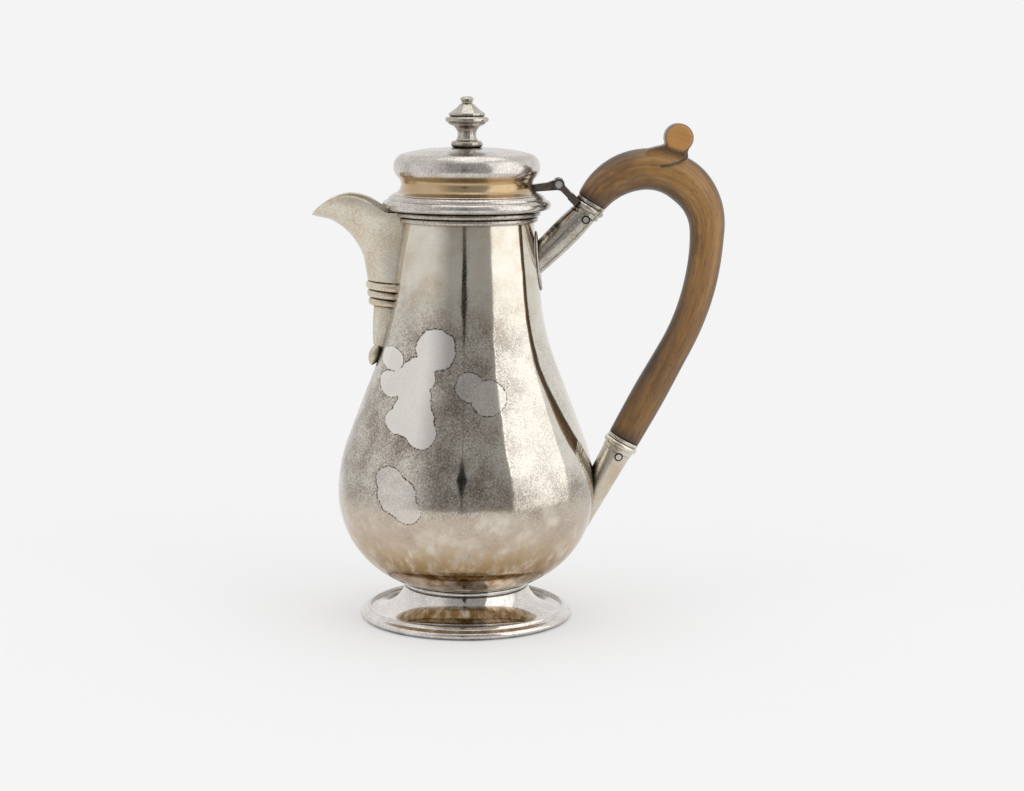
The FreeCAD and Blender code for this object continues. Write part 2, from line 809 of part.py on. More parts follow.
def thumb_scroll():
    """Rolled end of the scroll and the neck that joins it to the handle."""
    centre_reach = d.handle_right_radius + d.shoulder_half + d.scroll_lift
    x = handle_top_x + centre_reach * cosine(d.scroll_angle)
    z = crest_drop + centre_reach * sine(d.scroll_angle)
    half = d.scroll_width / 2
    edge = d.scroll_radius - d.scroll_round
    round_off = d.scroll_round * SLANT
    roll = turned("scroll_roll", [
        (0, -half),
        (edge, -half),
        (d.scroll_radius, d.scroll_round - half, edge + round_off, d.scroll_round - half - round_off),
        (d.scroll_radius, half - d.scroll_round),
        (edge, half, edge + round_off, half - d.scroll_round + round_off),
        (0, half),
    ])
    roll.Placement = Placement(Vector(), ALONG_Y)
    bind(roll, "Placement.Base.x", x)
    bind(roll, "Placement.Base.z", z)
    sink = d.scroll_lift + d.shoulder_half / 2
    neck = slab("scroll_neck", [
        (d.scroll_radius, 0),
        (d.scroll_radius, -d.scroll_lift, d.scroll_radius - d.curl_notch, -d.scroll_lift / 2),
        (d.scroll_radius, -sink),
        (-d.curl_reach - d.curl_run, -sink),
        (-d.curl_reach - d.curl_run, -d.curl_drop - d.curl_fall),
        (-d.curl_reach, -d.curl_drop),
        (-d.curl_notch, -d.scroll_radius),
        (0, 0),
    ], d.scroll_width - d.scroll_round)
    place(neck, x, z, RIGHT_ANGLE - d.scroll_angle)
    return roll, neck


def tenon(name, end, extra):
    """Cylinder from inside the wood down into the socket, wider and longer by extra."""
    x, z = end.at(as_size(0), -d.tenon_length - extra)
    return cylinder(name, d.tenon_radius + extra, d.tenon_length * 2 + extra, x, z, end.lean)


def make_handle():
    curves = []
    for count, (x, z, lean, half) in enumerate(handle_stations()):
        curves.append(ellipse(f"handle_{count}", x, z, half, half - d.handle_flat, lean))
    wood = fuse("handle_wood", loft("handle_form", curves), *thumb_scroll(),
                tenon("upper_tenon", upper_end, as_size(0)), tenon("lower_tenon", lower_end, as_size(0)))
    node(cut("handle_grip", wood, upper_pin_hole, lower_pin_hole), "handle_grip")


def handle_pin(name, end, reach):
    """Pin through socket and tenon, and the hole that it fits."""
    x, z = end.at(d.handle_pin_offset, -d.handle_pin_set)
    node(cross_rod(name, d.handle_pin_radius, (reach + d.handle_pin_proud) * 2, x, z), name)
    return cross_rod(name + "_hole", d.handle_pin_radius, reach * 4, x, z)


def make_collar(name, end, radius):
    """Ferrule of band, bead and band at the mouth of a socket of that radius."""
    hole = d.tenon_radius + d.tenon_clearance
    band = radius + d.collar_rise
    land = radius + d.collar_land
    groove = band - d.collar_groove
    blank = turned(name, [
        (hole, 0),
        (band, 0),
        (band, -d.collar_length * BAND_FOOT),
        (groove, -d.collar_length * BEAD_TOP),
        (groove, -d.collar_length * BEAD_FOOT, radius + d.collar_bead, -d.collar_length * BEAD_MIDDLE),
        (land, -d.collar_length * LAND_TOP),
        (land, -d.collar_length),
        (hole, -d.collar_length),
    ])
    place(blank, end.x, end.z, end.lean)
    return node(blank, name)


def make_upper_socket():
    mouth_x, mouth_z = upper_end.at(-d.upper_socket_set, -d.collar_length)
    mid_z = d.rim_height - d.upper_socket_mid_drop
    root_z = d.rim_height - d.upper_socket_root_drop
    lean = lean_of(d.upper_socket_mid_x - d.upper_socket_root_x, mid_z - root_z)
    tube = loft("upper_tube", [
        ellipse("upper_root", d.upper_socket_root_x, root_z, d.upper_socket_root_radius,
                d.upper_socket_root_radius, lean),
        ellipse("upper_middle", d.upper_socket_mid_x, mid_z, d.upper_socket_mid_radius,
                d.upper_socket_mid_radius, between(lean, upper_end.lean, 0.3)),
        ellipse("upper_mouth", mouth_x, mouth_z, d.upper_socket_radius, d.upper_socket_radius,
                upper_end.lean),
    ])
    pad_z = d.rim_height - d.pad_drop
    leaf = ellipse("pad_leaf", 0, pad_z, d.pad_half_length, d.pad_half_width, RIGHT_ANGLE)
    prism = doc.addObject("Part::Extrusion", "pad_prism")
    prism.Base = leaf
    prism.DirMode = "Custom"
    prism.Dir = Vector(1, 0, 0)
    prism.Solid = True
    bind(prism, "LengthFwd", d.belly_radius)
    pad = doc.addObject("Part::Common", "pad")
    pad.Base = prism
    pad.Tool = pad_outside
    bore_space = tenon("upper_bore", upper_end, d.tenon_clearance)
    whole = fuse("upper_solid", tube, pad)
    node(cut("upper_socket", whole, pot_outside, bore_space, upper_pin_hole), "upper_socket")
    return bore_space


def make_lower_socket():
    tube = doc.addObject("Part::Cone", "lower_tube")
    bind(tube, "Radius1", d.lower_socket_foot_radius)
    bind(tube, "Radius2", d.lower_socket_radius)
    bind(tube, "Height", d.lower_socket_length)
    x, z = lower_end.at(as_size(0), -d.collar_length - d.lower_socket_length)
    place(tube, x, z, lower_end.lean)
    bore_space = tenon("lower_bore", lower_end, d.tenon_clearance)
    node(cut("lower_socket", tube, pot_outside, bore_space, lower_pin_hole), "lower_socket")


# Lid hinge: a fork on the upper socket, a pin, and the lid's lug between the cheeks

hinge_z = d.rim_height + d.hinge_rise


def make_bracket(*seat):
    """Fork whose strap runs from the pin down to the collar of the upper socket."""
    foot_x, foot_z = upper_end.at(-d.bracket_side, -d.bracket_set)
    run_x = foot_x - d.hinge_x
    run_z = foot_z - hinge_z
    length = length_of(run_x, run_z)
    blank = slab("bracket_blank", [
        (-d.knuckle_radius, 0),
        (d.knuckle_radius, 0, 0, d.knuckle_radius),
        (d.strap_half, -d.knuckle_radius),
        (d.strap_half, -d.strap_step),
        (d.strap_block_half, -d.strap_step),
        (d.strap_block_half, -length),
        (-d.strap_block_half, -length),
        (-d.strap_block_half, -d.strap_step),
        (-d.strap_half, -d.strap_step),
        (-d.strap_half, -d.knuckle_radius),
    ], d.fork_width)
    slot = d.knuckle_radius * 2
    pocket(blank, "fork_slot_cut", lambda sketch: outline(sketch, [
        (-slot, -d.fork_depth),
        (slot, -d.fork_depth),
        (slot, slot),
        (-slot, slot),
    ]), d.fork_slot)
    bore(blank, "fork_bore", as_size(0), as_size(0), d.hinge_pin_radius, d.fork_width * 2)
    place(blank, d.hinge_x, hinge_z, lean_of(-run_x, -run_z))
    node(cut("hinge_bracket", blank, *seat), "hinge_bracket")


def make_hinge_pin():
    shank = cross_rod("hinge_shank", d.hinge_pin_radius, d.fork_width, d.hinge_x, hinge_z)
    heads = []
    for side in (-1, 1):
        height = d.hinge_pin_head_height
        head = cross_rod(f"hinge_head_{side + 1}", d.hinge_pin_head, height, d.hinge_x, hinge_z)
        middle = (d.fork_width + height) / 2 * side
        bind(head, "Placement.Base.y", middle - height / 2)
        heads.append(head)
    node(fuse("hinge_pin", shank, *heads), "hinge_pin")


# Lid

lid_base = d.rim_height + d.lid_gap
flange_top = lid_base + d.flange_height
lid_top = flange_top + d.dome_height
bezel_radius = d.neck_radius - d.wall - d.bezel_gap
stud_hole = d.stud_radius + d.stud_clearance


def dome_side(inset):
    """Side of the dome moved inwards by inset, from its foot to the flat that carries the finial."""
    waist_z = flange_top + d.lid_waist_height
    cap_z = flange_top + d.cap_height
    edge_z = flange_top + d.cap_edge_height
    turn_r = between(d.lid_waist_radius, d.cap_radius, TURN_OUT) - inset
    slant = inset * SLANT
    return [
        (d.dome_foot - inset, flange_top),
        (d.dome_foot - d.dome_foot_step - inset, flange_top + d.dome_foot_step),
        (turn_r, between(waist_z, cap_z, TURN_UP), d.lid_waist_radius - inset, waist_z),
        (d.cap_edge - slant, edge_z - slant, d.cap_radius - inset, cap_z),
        (d.cap_flat, lid_top - inset, between(d.cap_flat, d.cap_edge, HALF),
         between(lid_top, edge_z, HALF) + d.cap_bow - inset),
    ]


def make_dome():
    inner = dome_side(d.sheet)
    backwards = [inner[4]]
    for before, after in ((3, 4), (2, 3), (1, 2)):
        backwards.append(inner[before][:2] + inner[after][2:])
    node(turned("lid_dome", dome_side(as_size(0)) + [
        (stud_hole, lid_top),
        (stud_hole, lid_top - d.sheet),
        inner[4][:2],
        *backwards[1:],
        inner[0],
    ]), "lid_dome")
    return turned("dome_outside", dome_side(as_size(0)) + [(0, lid_top), (0, flange_top)])


def make_flange():
    groove_z = lid_base + d.flange_groove_height
    ring = d.flange_groove - d.flange_step
    lip = d.dome_foot - d.sheet
    node(turned("lid_flange", [
        (bezel_radius, lid_base),
        (d.flange_foot, lid_base),
        (d.flange_groove, groove_z, d.flange_radius, lid_base + d.flange_middle),
        (ring, groove_z),
        (d.dome_foot, flange_top, between(ring, d.dome_foot, HALF) + d.flange_bow,
         between(groove_z, flange_top, HALF)),
        (lip, flange_top),
        (lip, groove_z),
        (ring - d.sheet, groove_z - d.sheet),
        (d.flange_foot - d.sheet, lid_base + d.sheet, d.flange_radius - d.sheet, lid_base + d.flange_middle),
        (bezel_radius, lid_base + d.sheet),
    ]), "lid_flange")
    low = bezel_radius - d.bezel_taper
    node(turned("lid_bezel", [
        (bezel_radius - d.sheet, lid_base + d.sheet),
        (bezel_radius, lid_base + d.sheet),
        (bezel_radius, lid_base),
        (low, lid_base - d.bezel_depth),
        (low - d.sheet, lid_base - d.bezel_depth),
        (bezel_radius - d.sheet, lid_base),
    ]), "lid_bezel")


def make_lug(dome_outside):
    knuckle = d.knuckle_radius - d.knuckle_ease
    width = d.fork_slot - d.lug_clearance * 2
    inside = d.lid_waist_radius - d.sheet
    blank = slab("lug_blank", [
        (inside, hinge_z - knuckle - d.lug_arm_fall),
        (d.hinge_x, hinge_z - knuckle),
        (d.hinge_x, hinge_z + knuckle, d.hinge_x + knuckle, hinge_z),
        (d.hinge_x - knuckle * 2, hinge_z + d.lug_arm_rise),
        (inside, hinge_z + d.lug_arm_rise - d.lug_arm_fall),
    ], width)
    bore(blank, "lug_bore", d.hinge_x, hinge_z, d.hinge_pin_radius + d.hinge_clearance, width * 2)
    node(cut("lid_lug", blank, dome_outside), "lid_lug")


# Finial, bolted through the cap

def make_finial():
    seat_top = lid_top + d.seat_height
    seat_edge = d.seat_radius - d.seat_lip
    node(turned("finial_seat", [
        (stud_hole, lid_top),
        (seat_edge, lid_top),
        (seat_edge, seat_top, d.seat_radius, between(lid_top, seat_top, HALF)),
        (stud_hole, seat_top),
    ]), "finial_seat")
    rise = seat_top + d.knob_ring_height
    disc = seat_top + d.knob_disc_height
    step = seat_top + d.knob_step_height
    tip = seat_top + d.knob_tip_height
    top = seat_top + d.knob_height
    button = tip + d.button_middle
    ring_foot = d.knob_ring - d.knob_flare
    node(turned("finial_knob", [
        (0, lid_top - d.stud_length),
        (d.stud_radius, lid_top - d.stud_length),
        (d.stud_radius, seat_top),
        (d.knob_neck + d.knob_flare, seat_top),
        (ring_foot, rise - d.knob_bevel, d.knob_neck, seat_top + d.knob_neck_height),
        (ring_foot, rise),
        (d.knob_ring, rise),
        (d.knob_ring, disc - d.knob_bevel * 2),
        (d.knob_disc, disc - d.knob_bevel),
        (d.knob_disc, disc + d.knob_bevel),
        (d.knob_step, disc + d.knob_bevel * 2),
        (d.knob_step, step),
        (d.knob_tip, tip, between(d.knob_tip, d.knob_step, TURN_OUT), between(tip, step, TURN_UP)),
        (d.knob_tip - d.knob_tip_groove, between(tip, button, 0.3)),
        (d.button_radius, button),
        (d.button_top, top, between(d.button_radius, d.button_top, 0.3), between(button, top, 0.7)),
        (0, top),
    ]), "finial_knob")
    washer_top = lid_top - d.sheet
    washer_low = washer_top - d.washer_thickness
    node(turned("finial_washer", [
        (stud_hole, washer_low),
        (d.washer_radius, washer_low),
        (d.washer_radius, washer_top),
        (stud_hole, washer_top),
    ]), "finial_washer")
    hexagon = doc.addObject("Part::Prism", "nut_blank")
    hexagon.Polygon = 6
    bind(hexagon, "Circumradius", d.nut_radius)
    bind(hexagon, "Height", d.nut_height)
    bind(hexagon, "Placement.Base.z", washer_low - d.nut_height)
    nut_foot = washer_low - d.nut_height * 2
    thread = cylinder("nut_thread", d.stud_radius, d.nut_height * 3, 0, nut_foot, as_size(0))
    node(cut("finial_nut", hexagon, thread), "finial_nut")


make_body()
make_rim()
make_foot()
make_spout()
make_band()
make_drop()
upper_pin_hole = handle_pin("upper_handle_pin", upper_end, d.upper_socket_radius)
lower_pin_hole = handle_pin("lower_handle_pin", lower_end, d.lower_socket_radius)
make_handle()
upper_collar = make_collar("upper_collar", upper_end, d.upper_socket_radius)
make_collar("lower_collar", lower_end, d.lower_socket_radius)
upper_bore = make_upper_socket()
make_lower_socket()
make_bracket(upper_collar, upper_bore, doc.getObject("upper_solid"), doc.getObject("handle_wood"))
make_hinge_pin()
make_lug(make_dome())
make_flange()
make_finial()
doc.recompute()

faults = [thing.Label for thing in doc.Objects if "Invalid" in thing.State or "Error" in thing.State]
for thing in NODES:
    if thing.Shape.isNull() or not thing.Shape.isValid() or not thing.Shape.Solids:
        faults.append(thing.Label)
if faults:
    raise RuntimeError("Not built: " + ", ".join(faults))

os.makedirs("parts", exist_ok=True)
for thing in NODES:
    thing.Shape.exportStep(f"parts/{thing.Label}.step")
    print(thing.Label, len(thing.Shape.Solids), round(thing.Shape.Volume, 1))
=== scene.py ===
"""Looks of a covered silver coffee pot with a pinned wooden handle, built on the frame of its solids."""

import collections
import functools
import itertools
import math

import bmesh
import bpy
import numpy as np
from mathutils import Matrix, Vector


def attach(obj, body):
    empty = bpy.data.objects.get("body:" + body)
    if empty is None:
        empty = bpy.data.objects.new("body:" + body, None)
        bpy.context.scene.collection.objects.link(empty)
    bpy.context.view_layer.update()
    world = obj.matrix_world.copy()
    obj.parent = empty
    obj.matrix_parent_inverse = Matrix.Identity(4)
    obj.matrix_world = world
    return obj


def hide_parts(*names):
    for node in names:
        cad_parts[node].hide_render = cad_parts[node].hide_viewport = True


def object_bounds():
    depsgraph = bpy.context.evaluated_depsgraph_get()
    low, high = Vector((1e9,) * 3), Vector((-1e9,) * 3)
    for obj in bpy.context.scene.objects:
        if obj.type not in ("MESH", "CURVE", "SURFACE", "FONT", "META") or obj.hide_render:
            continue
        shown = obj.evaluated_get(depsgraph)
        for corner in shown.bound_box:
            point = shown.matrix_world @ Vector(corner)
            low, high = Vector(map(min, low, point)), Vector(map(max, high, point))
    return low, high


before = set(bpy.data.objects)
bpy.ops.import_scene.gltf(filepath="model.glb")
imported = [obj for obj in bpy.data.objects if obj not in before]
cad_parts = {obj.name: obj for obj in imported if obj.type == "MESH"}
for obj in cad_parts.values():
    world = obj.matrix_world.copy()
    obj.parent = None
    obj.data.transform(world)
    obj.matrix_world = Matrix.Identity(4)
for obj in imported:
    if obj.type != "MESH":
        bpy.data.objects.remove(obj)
CAD_BOX = [list(corner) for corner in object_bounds()]

bl_info = {
    "name": "Silver coffee pot",
    "version": (1, 0, 0),
    "blender": (4, 5, 0),
    "location": "3D View > Sidebar > Coffee pot",
    "description": "Makes the silver, the wood and the stage of a covered coffee pot",
    "category": "Object",
}

MM = 0.001
TURN_RADIUS = 10.0


def linear(hex_colour):
    """Linear colour of an sRGB hex colour."""
    parts = [int(hex_colour[i:i + 2], 16) / 255 for i in (1, 3, 5)]
    return [part / 12.92 if part <= 0.04045 else ((part + 0.055) / 1.055) ** 2.4 for part in parts]


def colour(name, description, hex_colour):
    return bpy.props.FloatVectorProperty(
        name=name, description=description, subtype="COLOR", size=3, min=0, max=1, default=linear(hex_colour))


def number(name, description, default, **limits):
    return bpy.props.FloatProperty(name=name, description=description, default=default, **limits)


class SilverFinish(bpy.types.PropertyGroup):
    clean: colour("Clean silver", "Freshly polished metal", "#e9e5e0")
    patina: colour("Patina", "Grey-brown bloom over the body", "#84776d")
    straw: colour("Straw", "First yellow tint of the tarnish", "#ddd8cc")
    gold: colour("Gold", "Warm tarnish low on the belly and round the lid", "#bda179")
    brown: colour("Brown", "Deepest tarnish, in streaks and dots", "#86673c")
    rose: colour("Rose", "Pink-grey film at the widest part of the belly", "#c9b9a8")
    # Soot also paints shade into recesses, and along the edges of the hinge
    soot: colour("Soot", "Black tarnish in grooves and corners", "#2c2620")
    speckle: number("Speckle", "Width of the fine tarnish specks", 0.0007, min=0.0002, unit="LENGTH")
    polish: number("Polish", "Roughness of clean metal on the body", 0.06, min=0, max=1, subtype="FACTOR")
    bloom: number("Bloom", "Roughness of tarnished metal on the body", 0.15, min=0, max=1, subtype="FACTOR")


class WoodFinish(bpy.types.PropertyGroup):
    light: colour("Light wood", "Worn, lighter wood", "#a2783c")
    middle: colour("Wood", "Main colour of the fruitwood", "#785126")
    # The dark wood also paints shade along the handle's edges, its carved line and the edge of the roll
    dark: colour("Dark wood", "Dark grain and darkened ends", "#2a1a0d")
    cut: colour("Cut wood", "End grain on the sides of the scroll", "#b5803f")
    grain: number("Grain", "Width of the grain lines", 0.0016, min=0.0003, unit="LENGTH")


class StageSettings(bpy.types.PropertyGroup):
    backdrop: colour("Backdrop", "Pale sweep behind and under the pot", "#f4f4f4")
    lamp: number("Lamps", "Strength of the soft lamps", 1.0, min=0)


class TurningSettings(bpy.types.PropertyGroup):
    steps: bpy.props.IntProperty(
        name="Steps", description="Faces round a turned piece", default=192, min=24, max=512)
    edge: number("Edge", "Rounding of the edges of turned pieces", 0.00025, min=0, unit="LENGTH")


# Outlines, in millimetres

def line_points(start, end, gap):
    count = max(1, math.ceil(math.dist(start, end) / gap))
    return [np.add(start, np.subtract(end, start) * i / count) for i in range(1, count + 1)]


def centre_of(a, b, c):
    """Centre of the circle through three points."""
    side = np.array([np.subtract(b, a), np.subtract(c, a)], float) * 2
    right = np.array([np.dot(b, b) - np.dot(a, a), np.dot(c, c) - np.dot(a, a)], float)
    return np.linalg.solve(side, right)


def arc_points(start, via, end, gap):
    centre = centre_of(start, via, end)
    angles = [math.atan2(p[1] - centre[1], p[0] - centre[0]) for p in (start, via, end)]
    turn = 2 * math.pi
    sweep = (angles[2] - angles[0]) % turn
    if (angles[1] - angles[0]) % turn > sweep:
        sweep -= turn
    radius = math.dist(start, centre)
    count = max(4, math.ceil(abs(sweep) * radius / gap))
    steps = angles[0] + sweep * np.arange(1, count + 1) / count
    return list(centre + radius * np.column_stack([np.cos(steps), np.sin(steps)]))


def trace(path, gap, closed):
    """Points along corners (x, z); with four entries, by an arc through the last two."""
    points = []
    before = path[-1][:2] if closed else None
    for step in path:
        here = step[:2]
        if before is None:
            points.append(np.array(here, float))
        elif len(step) == 4:
            points += arc_points(before, step[2:], here, gap)
        else:
            points += line_points(before, here, gap)
        before = here
    return np.array(points)


def ease(points, reach, closed, sharp=math.radians(24)):
    """Round off the sharp corners of a traced outline."""
    after = np.roll(points, -1, axis=0) - points
    before = points - np.roll(points, 1, axis=0)
    cross = before[:, 0] * after[:, 1] - before[:, 1] * after[:, 0]
    turn = np.abs(np.arctan2(cross, (before * after).sum(axis=1)))
    if not closed:
        turn[[0, -1]] = 0
    lengths = np.linalg.norm(after, axis=1)
    where = np.concatenate([[0], np.cumsum(lengths)])[:-1]
    whole = lengths.sum()
    corners = np.flatnonzero(turn > sharp)
    if len(corners) == 0:
        return points
    looped = np.vstack([points, points[:1]])
    along = np.append(where, whole)

    def at(s):
        s = s % whole
        return np.array([np.interp(s, along, looped[:, 0]), np.interp(s, along, looped[:, 1])])

    def apart(first, second):
        distance = abs(where[first] - where[second])
        return min(distance, whole - distance) if closed else distance

    rounded = {}
    for corner in corners:
        room = min([apart(corner, other) for other in corners if other != corner] + [whole / 2])
        size = min(reach, room * 0.45)
        low, high = at(where[corner] - size), at(where[corner] + size)
        shares = np.linspace(0, 1, 5)[:, None]
        curve = low * (1 - shares) ** 2 + points[corner] * 2 * shares * (1 - shares) + high * shares ** 2
        rounded[corner] = (size, curve)
    result = []
    for index, spot in enumerate(points):
        if index in rounded:
            result += list(rounded[index][1])
        elif all(apart(index, corner) > size for corner, (size, _) in rounded.items()):
            result.append(spot)
    return np.array(result)


# Body outline: bowl, shoulder, slope, waist and neck

FLOOR = 15.8
BASE_RADIUS = 26.8
BELLY = (54.3, 54.2)
SHOULDER_RADIUS = 63.8
SLOPE = math.radians(21)
WAIST_RADIUS = 100.0
NECK_RADIUS = 27.8
NECK_TAPER = math.radians(5.4)
RIM = 173.1
WALL = 0.9


def towards(angle):
    return np.array([math.cos(angle), math.sin(angle)])


def pot_outline(inset, gap):
    """Points up the body, moved inwards, from the edge of its floor to the rim."""
    base = np.array([BASE_RADIUS - inset, FLOOR + inset])
    belly = np.array([BELLY[0] - inset, BELLY[1]])
    shoulder_r = SHOULDER_RADIUS - inset
    waist_r = WAIST_RADIUS + inset
    bowl_x = (belly[0] ** 2 - base[0] ** 2 - (belly[1] - base[1]) ** 2) / (2 * (belly[0] - base[0]))
    bowl_r = belly[0] - bowl_x
    bowl_angle = math.atan2(base[1] - belly[1], base[0] - bowl_x) / 2
    bowl_via = np.array([bowl_x, belly[1]]) + bowl_r * towards(bowl_angle)
    up_slope = np.array([-math.sin(SLOPE), math.cos(SLOPE)])
    up_neck = np.array([-math.sin(NECK_TAPER), math.cos(NECK_TAPER)])
    shoulder_c = np.array([belly[0] - shoulder_r, belly[1]])
    shoulder_via = shoulder_c + shoulder_r * towards(SLOPE / 2)
    slope_start = shoulder_c + shoulder_r * towards(SLOPE)
    top = np.array([NECK_RADIUS - inset, RIM])
    run = np.linalg.solve(np.column_stack([up_slope, -up_neck]), top - slope_start)
    corner = slope_start + up_slope * run[0]
    reach = waist_r * math.tan((SLOPE - NECK_TAPER) / 2)
    slope_end = corner - up_slope * reach
    neck_start = corner + up_neck * reach
    waist_c = slope_end + waist_r * towards(SLOPE)
    waist_via = waist_c - waist_r * towards((SLOPE + NECK_TAPER) / 2)
    return trace([
        base, (*belly, *bowl_via), (*slope_start, *shoulder_via), slope_end, (*neck_start, *waist_via), top,
    ], gap, False)


POT_OUTSIDE = pot_outline(0.0, 0.4)


def pot_radius(z):
    return np.interp(z, POT_OUTSIDE[:, 1], POT_OUTSIDE[:, 0])


def seat_on_pot(points):
    """Move points that lie inside the pot out into the middle of its wall."""
    points = np.array(points, float)
    reach = np.hypot(points[..., 0], points[..., 1])
    wanted = pot_radius(points[..., 2]) - WALL / 2
    inside = (reach < wanted) & (points[..., 2] < RIM) & (points[..., 2] > FLOOR)
    scale = np.where(inside, wanted / np.maximum(reach, 1e-6), 1.0)
    points[..., 0] *= scale
    points[..., 1] *= scale
    return points


# Meshes

def new_object(name, vertices, edges=(), faces=()):
    mesh = bpy.data.meshes.new(name)
    mesh.from_pydata([tuple(v) for v in vertices], list(edges), list(faces))
    mesh.update()
    thing = bpy.data.objects.new(name, mesh)
    bpy.context.scene.collection.objects.link(thing)
    return thing


def spots_of(mesh):
    """Points of a mesh as rows of numbers."""
    spots = np.empty(len(mesh.vertices) * 3, np.float32)
    mesh.vertices.foreach_get("co", spots)
    return spots.reshape(-1, 3).astype(float)


def move_spots(mesh, spots):
    mesh.vertices.foreach_set("co", np.asarray(spots, np.float32).ravel())
    mesh.update()


def note(mesh, name, values):
    """Keep a number at every point of a mesh, for the node trees to read."""
    marks = mesh.attributes.new(name, "FLOAT", "POINT")
    marks.data.foreach_set("value", np.asarray(values, np.float32))


def face_outward(mesh):
    """Weld doubled points, turn every face outward and shade it smooth."""
    work = bmesh.new()
    work.from_mesh(mesh)
    bmesh.ops.remove_doubles(work, verts=work.verts, dist=1e-7)
    bmesh.ops.recalc_face_normals(work, faces=work.faces)
    for face in work.faces:
        face.smooth = True
    work.to_mesh(mesh)
    work.free()
    mesh.update()


def settle(thing):
    """Keep what the modifiers make as a plain mesh."""
    shown = thing.evaluated_get(bpy.context.evaluated_depsgraph_get())
    mesh = bpy.data.meshes.new_from_object(shown)
    thing.modifiers.clear()
    thing.data = mesh
    face_outward(mesh)
    return thing


def join(thing, *others):
    """Take the meshes of other objects into one object."""
    whole = bmesh.new()
    for part in (thing, *others):
        whole.from_mesh(part.data)
    whole.to_mesh(thing.data)
    whole.free()
    for part in others:
        bpy.data.objects.remove(part)


def cut_box(thing, low, high):
    """Cut a box between two corners, in millimetres, out of a piece."""
    points = np.array(list(itertools.product(*zip(low, high)))) * MM
    faces = [(0, 1, 3, 2), (4, 6, 7, 5), (0, 4, 5, 1), (2, 3, 7, 6), (0, 2, 6, 4), (1, 5, 7, 3)]
    box = new_object("cutter", points, faces=faces)
    cut = thing.modifiers.new("Cut", "BOOLEAN")
    cut.operation = "DIFFERENCE"
    cut.solver = "EXACT"
    cut.object = box
    settle(thing)
    bpy.data.objects.remove(box)


def faces_between(count, across, closed=False):
    """Faces between neighbouring rows, so many points across, each closed into a ring or not."""
    faces = []
    for low in range(0, (count - 1) * across, across):
        high = low + across
        for j in range(across if closed else across - 1):
            k = (j + 1) % across
            faces.append((low + j, low + k, high + k, high + j))
    return faces


def skin(name, rows):
    """A capped tube skinned over closed rows of points in millimetres."""
    rows = np.array(rows, float) * MM
    count, around = rows.shape[:2]
    faces = faces_between(count, around, closed=True)
    faces.append(tuple(range(around)))
    faces.append(tuple(range((count - 1) * around, count * around)))
    thing = new_object(name, rows.reshape(-1, 3), faces=faces)
    face_outward(thing.data)
    return thing


# Node trees

def feed(node, inputs):
    """Set a node's inputs, by name or in order, to values or to the nodes and sockets that feed them."""
    if not isinstance(inputs, dict):
        shown = [i for i, socket in enumerate(node.inputs) if socket.enabled]
        inputs = dict(zip(shown, inputs))
    for key, value in inputs.items():
        socket = node.inputs[key]
        if isinstance(value, bpy.types.Node):
            value = next(out for out in value.outputs if out.enabled)
        if isinstance(value, bpy.types.NodeSocket):
            node.id_data.links.new(value, socket)
        elif socket.type == "RGBA":
            socket.default_value = (*value[:3], 1.0)
        else:
            socket.default_value = value


def add(tree, family, kind, inputs=(), **settings):
    """Add a node, of a kind in a family of nodes, with its settings and its inputs."""
    made = tree.nodes.new(family + kind)
    for key, value in settings.items():
        setattr(made, key, value)
    feed(made, inputs)
    return made


def new_tree(name, numbers):
    """Inputs of a new Geometry Nodes tree, and the function that adds nodes to it."""
    tree = bpy.data.node_groups.new(name, "GeometryNodeTree")
    for label, kind in {"Outline": "Geometry", **numbers, "Material": "Material"}.items():
        tree.interface.new_socket(label, in_out="INPUT", socket_type="NodeSocket" + kind)
    tree.interface.new_socket("Piece", in_out="OUTPUT", socket_type="NodeSocketGeometry")
    return add(tree, "NodeGroup", "Input").outputs, functools.partial(add, tree, "GeometryNode")


def end_tree(given, grow, geometry):
    smooth = grow("SetShadeSmooth", {"Geometry": geometry})
    real = grow("RealizeInstances", {"Geometry": smooth})
    coated = grow("SetMaterial", {"Geometry": real, "Material": given["Material"]})
    add(coated.id_data, "NodeGroup", "Output", {"Piece": coated})
    return coated.id_data


def turning_tree(name):
    """Turn an outline about the upright axis: the outline is swept along a small circle."""
    given, grow = new_tree(name, {"Steps": "Int"})
    outline = grow("MeshToCurve", {"Mesh": given["Outline"]})
    circle = grow("CurvePrimitiveCircle", {"Resolution": given["Steps"], "Radius": TURN_RADIUS * MM})
    upright = grow("SetCurveNormal", {"Curve": circle, "Normal": (0, 0, 1)}, mode="FREE")
    return end_tree(given, grow, grow("CurveToMesh", {"Curve": upright, "Profile Curve": outline}))


def sweeping_tree(name):
    """Sweep an oval along an outline in the pot's upright plane, as thick as the outline's own half sizes."""
    given, grow = new_tree(name, {"Around": "Int", "Flatness": "Float"})
    path = grow("MeshToCurve", {"Mesh": given["Outline"]})
    half = grow("InputNamedAttribute", {"Name": "half"}, data_type="FLOAT").outputs["Attribute"]
    thick = grow("SetCurveRadius", {"Curve": path, "Radius": half})
    level = grow("SetCurveNormal", {"Curve": thick, "Normal": (0, 1, 0)}, mode="FREE")
    circle = grow("CurvePrimitiveCircle", {"Resolution": given["Around"], "Radius": 1.0})
    scale = add(level.id_data, "ShaderNode", "CombineXYZ", (given["Flatness"], 1.0, 1.0))
    oval = grow("Transform", {"Geometry": circle, "Scale": scale})
    tube = grow("CurveToMesh", {"Curve": level, "Profile Curve": oval, "Scale": half, "Fill Caps": True})
    return end_tree(given, grow, tube)


def run_tree(thing, make, name, values):
    """Run a Geometry Nodes tree on an outline and keep the plain mesh it makes."""
    tree = bpy.data.node_groups.get(name) or make(name)
    modifier = thing.modifiers.new(name, "NODES")
    modifier.node_group = tree
    for item in tree.interface.items_tree:
        if item.in_out == "INPUT" and item.name in values:
            modifier[item.identifier] = values[item.name]
    return settle(thing)


# From shapes to pieces

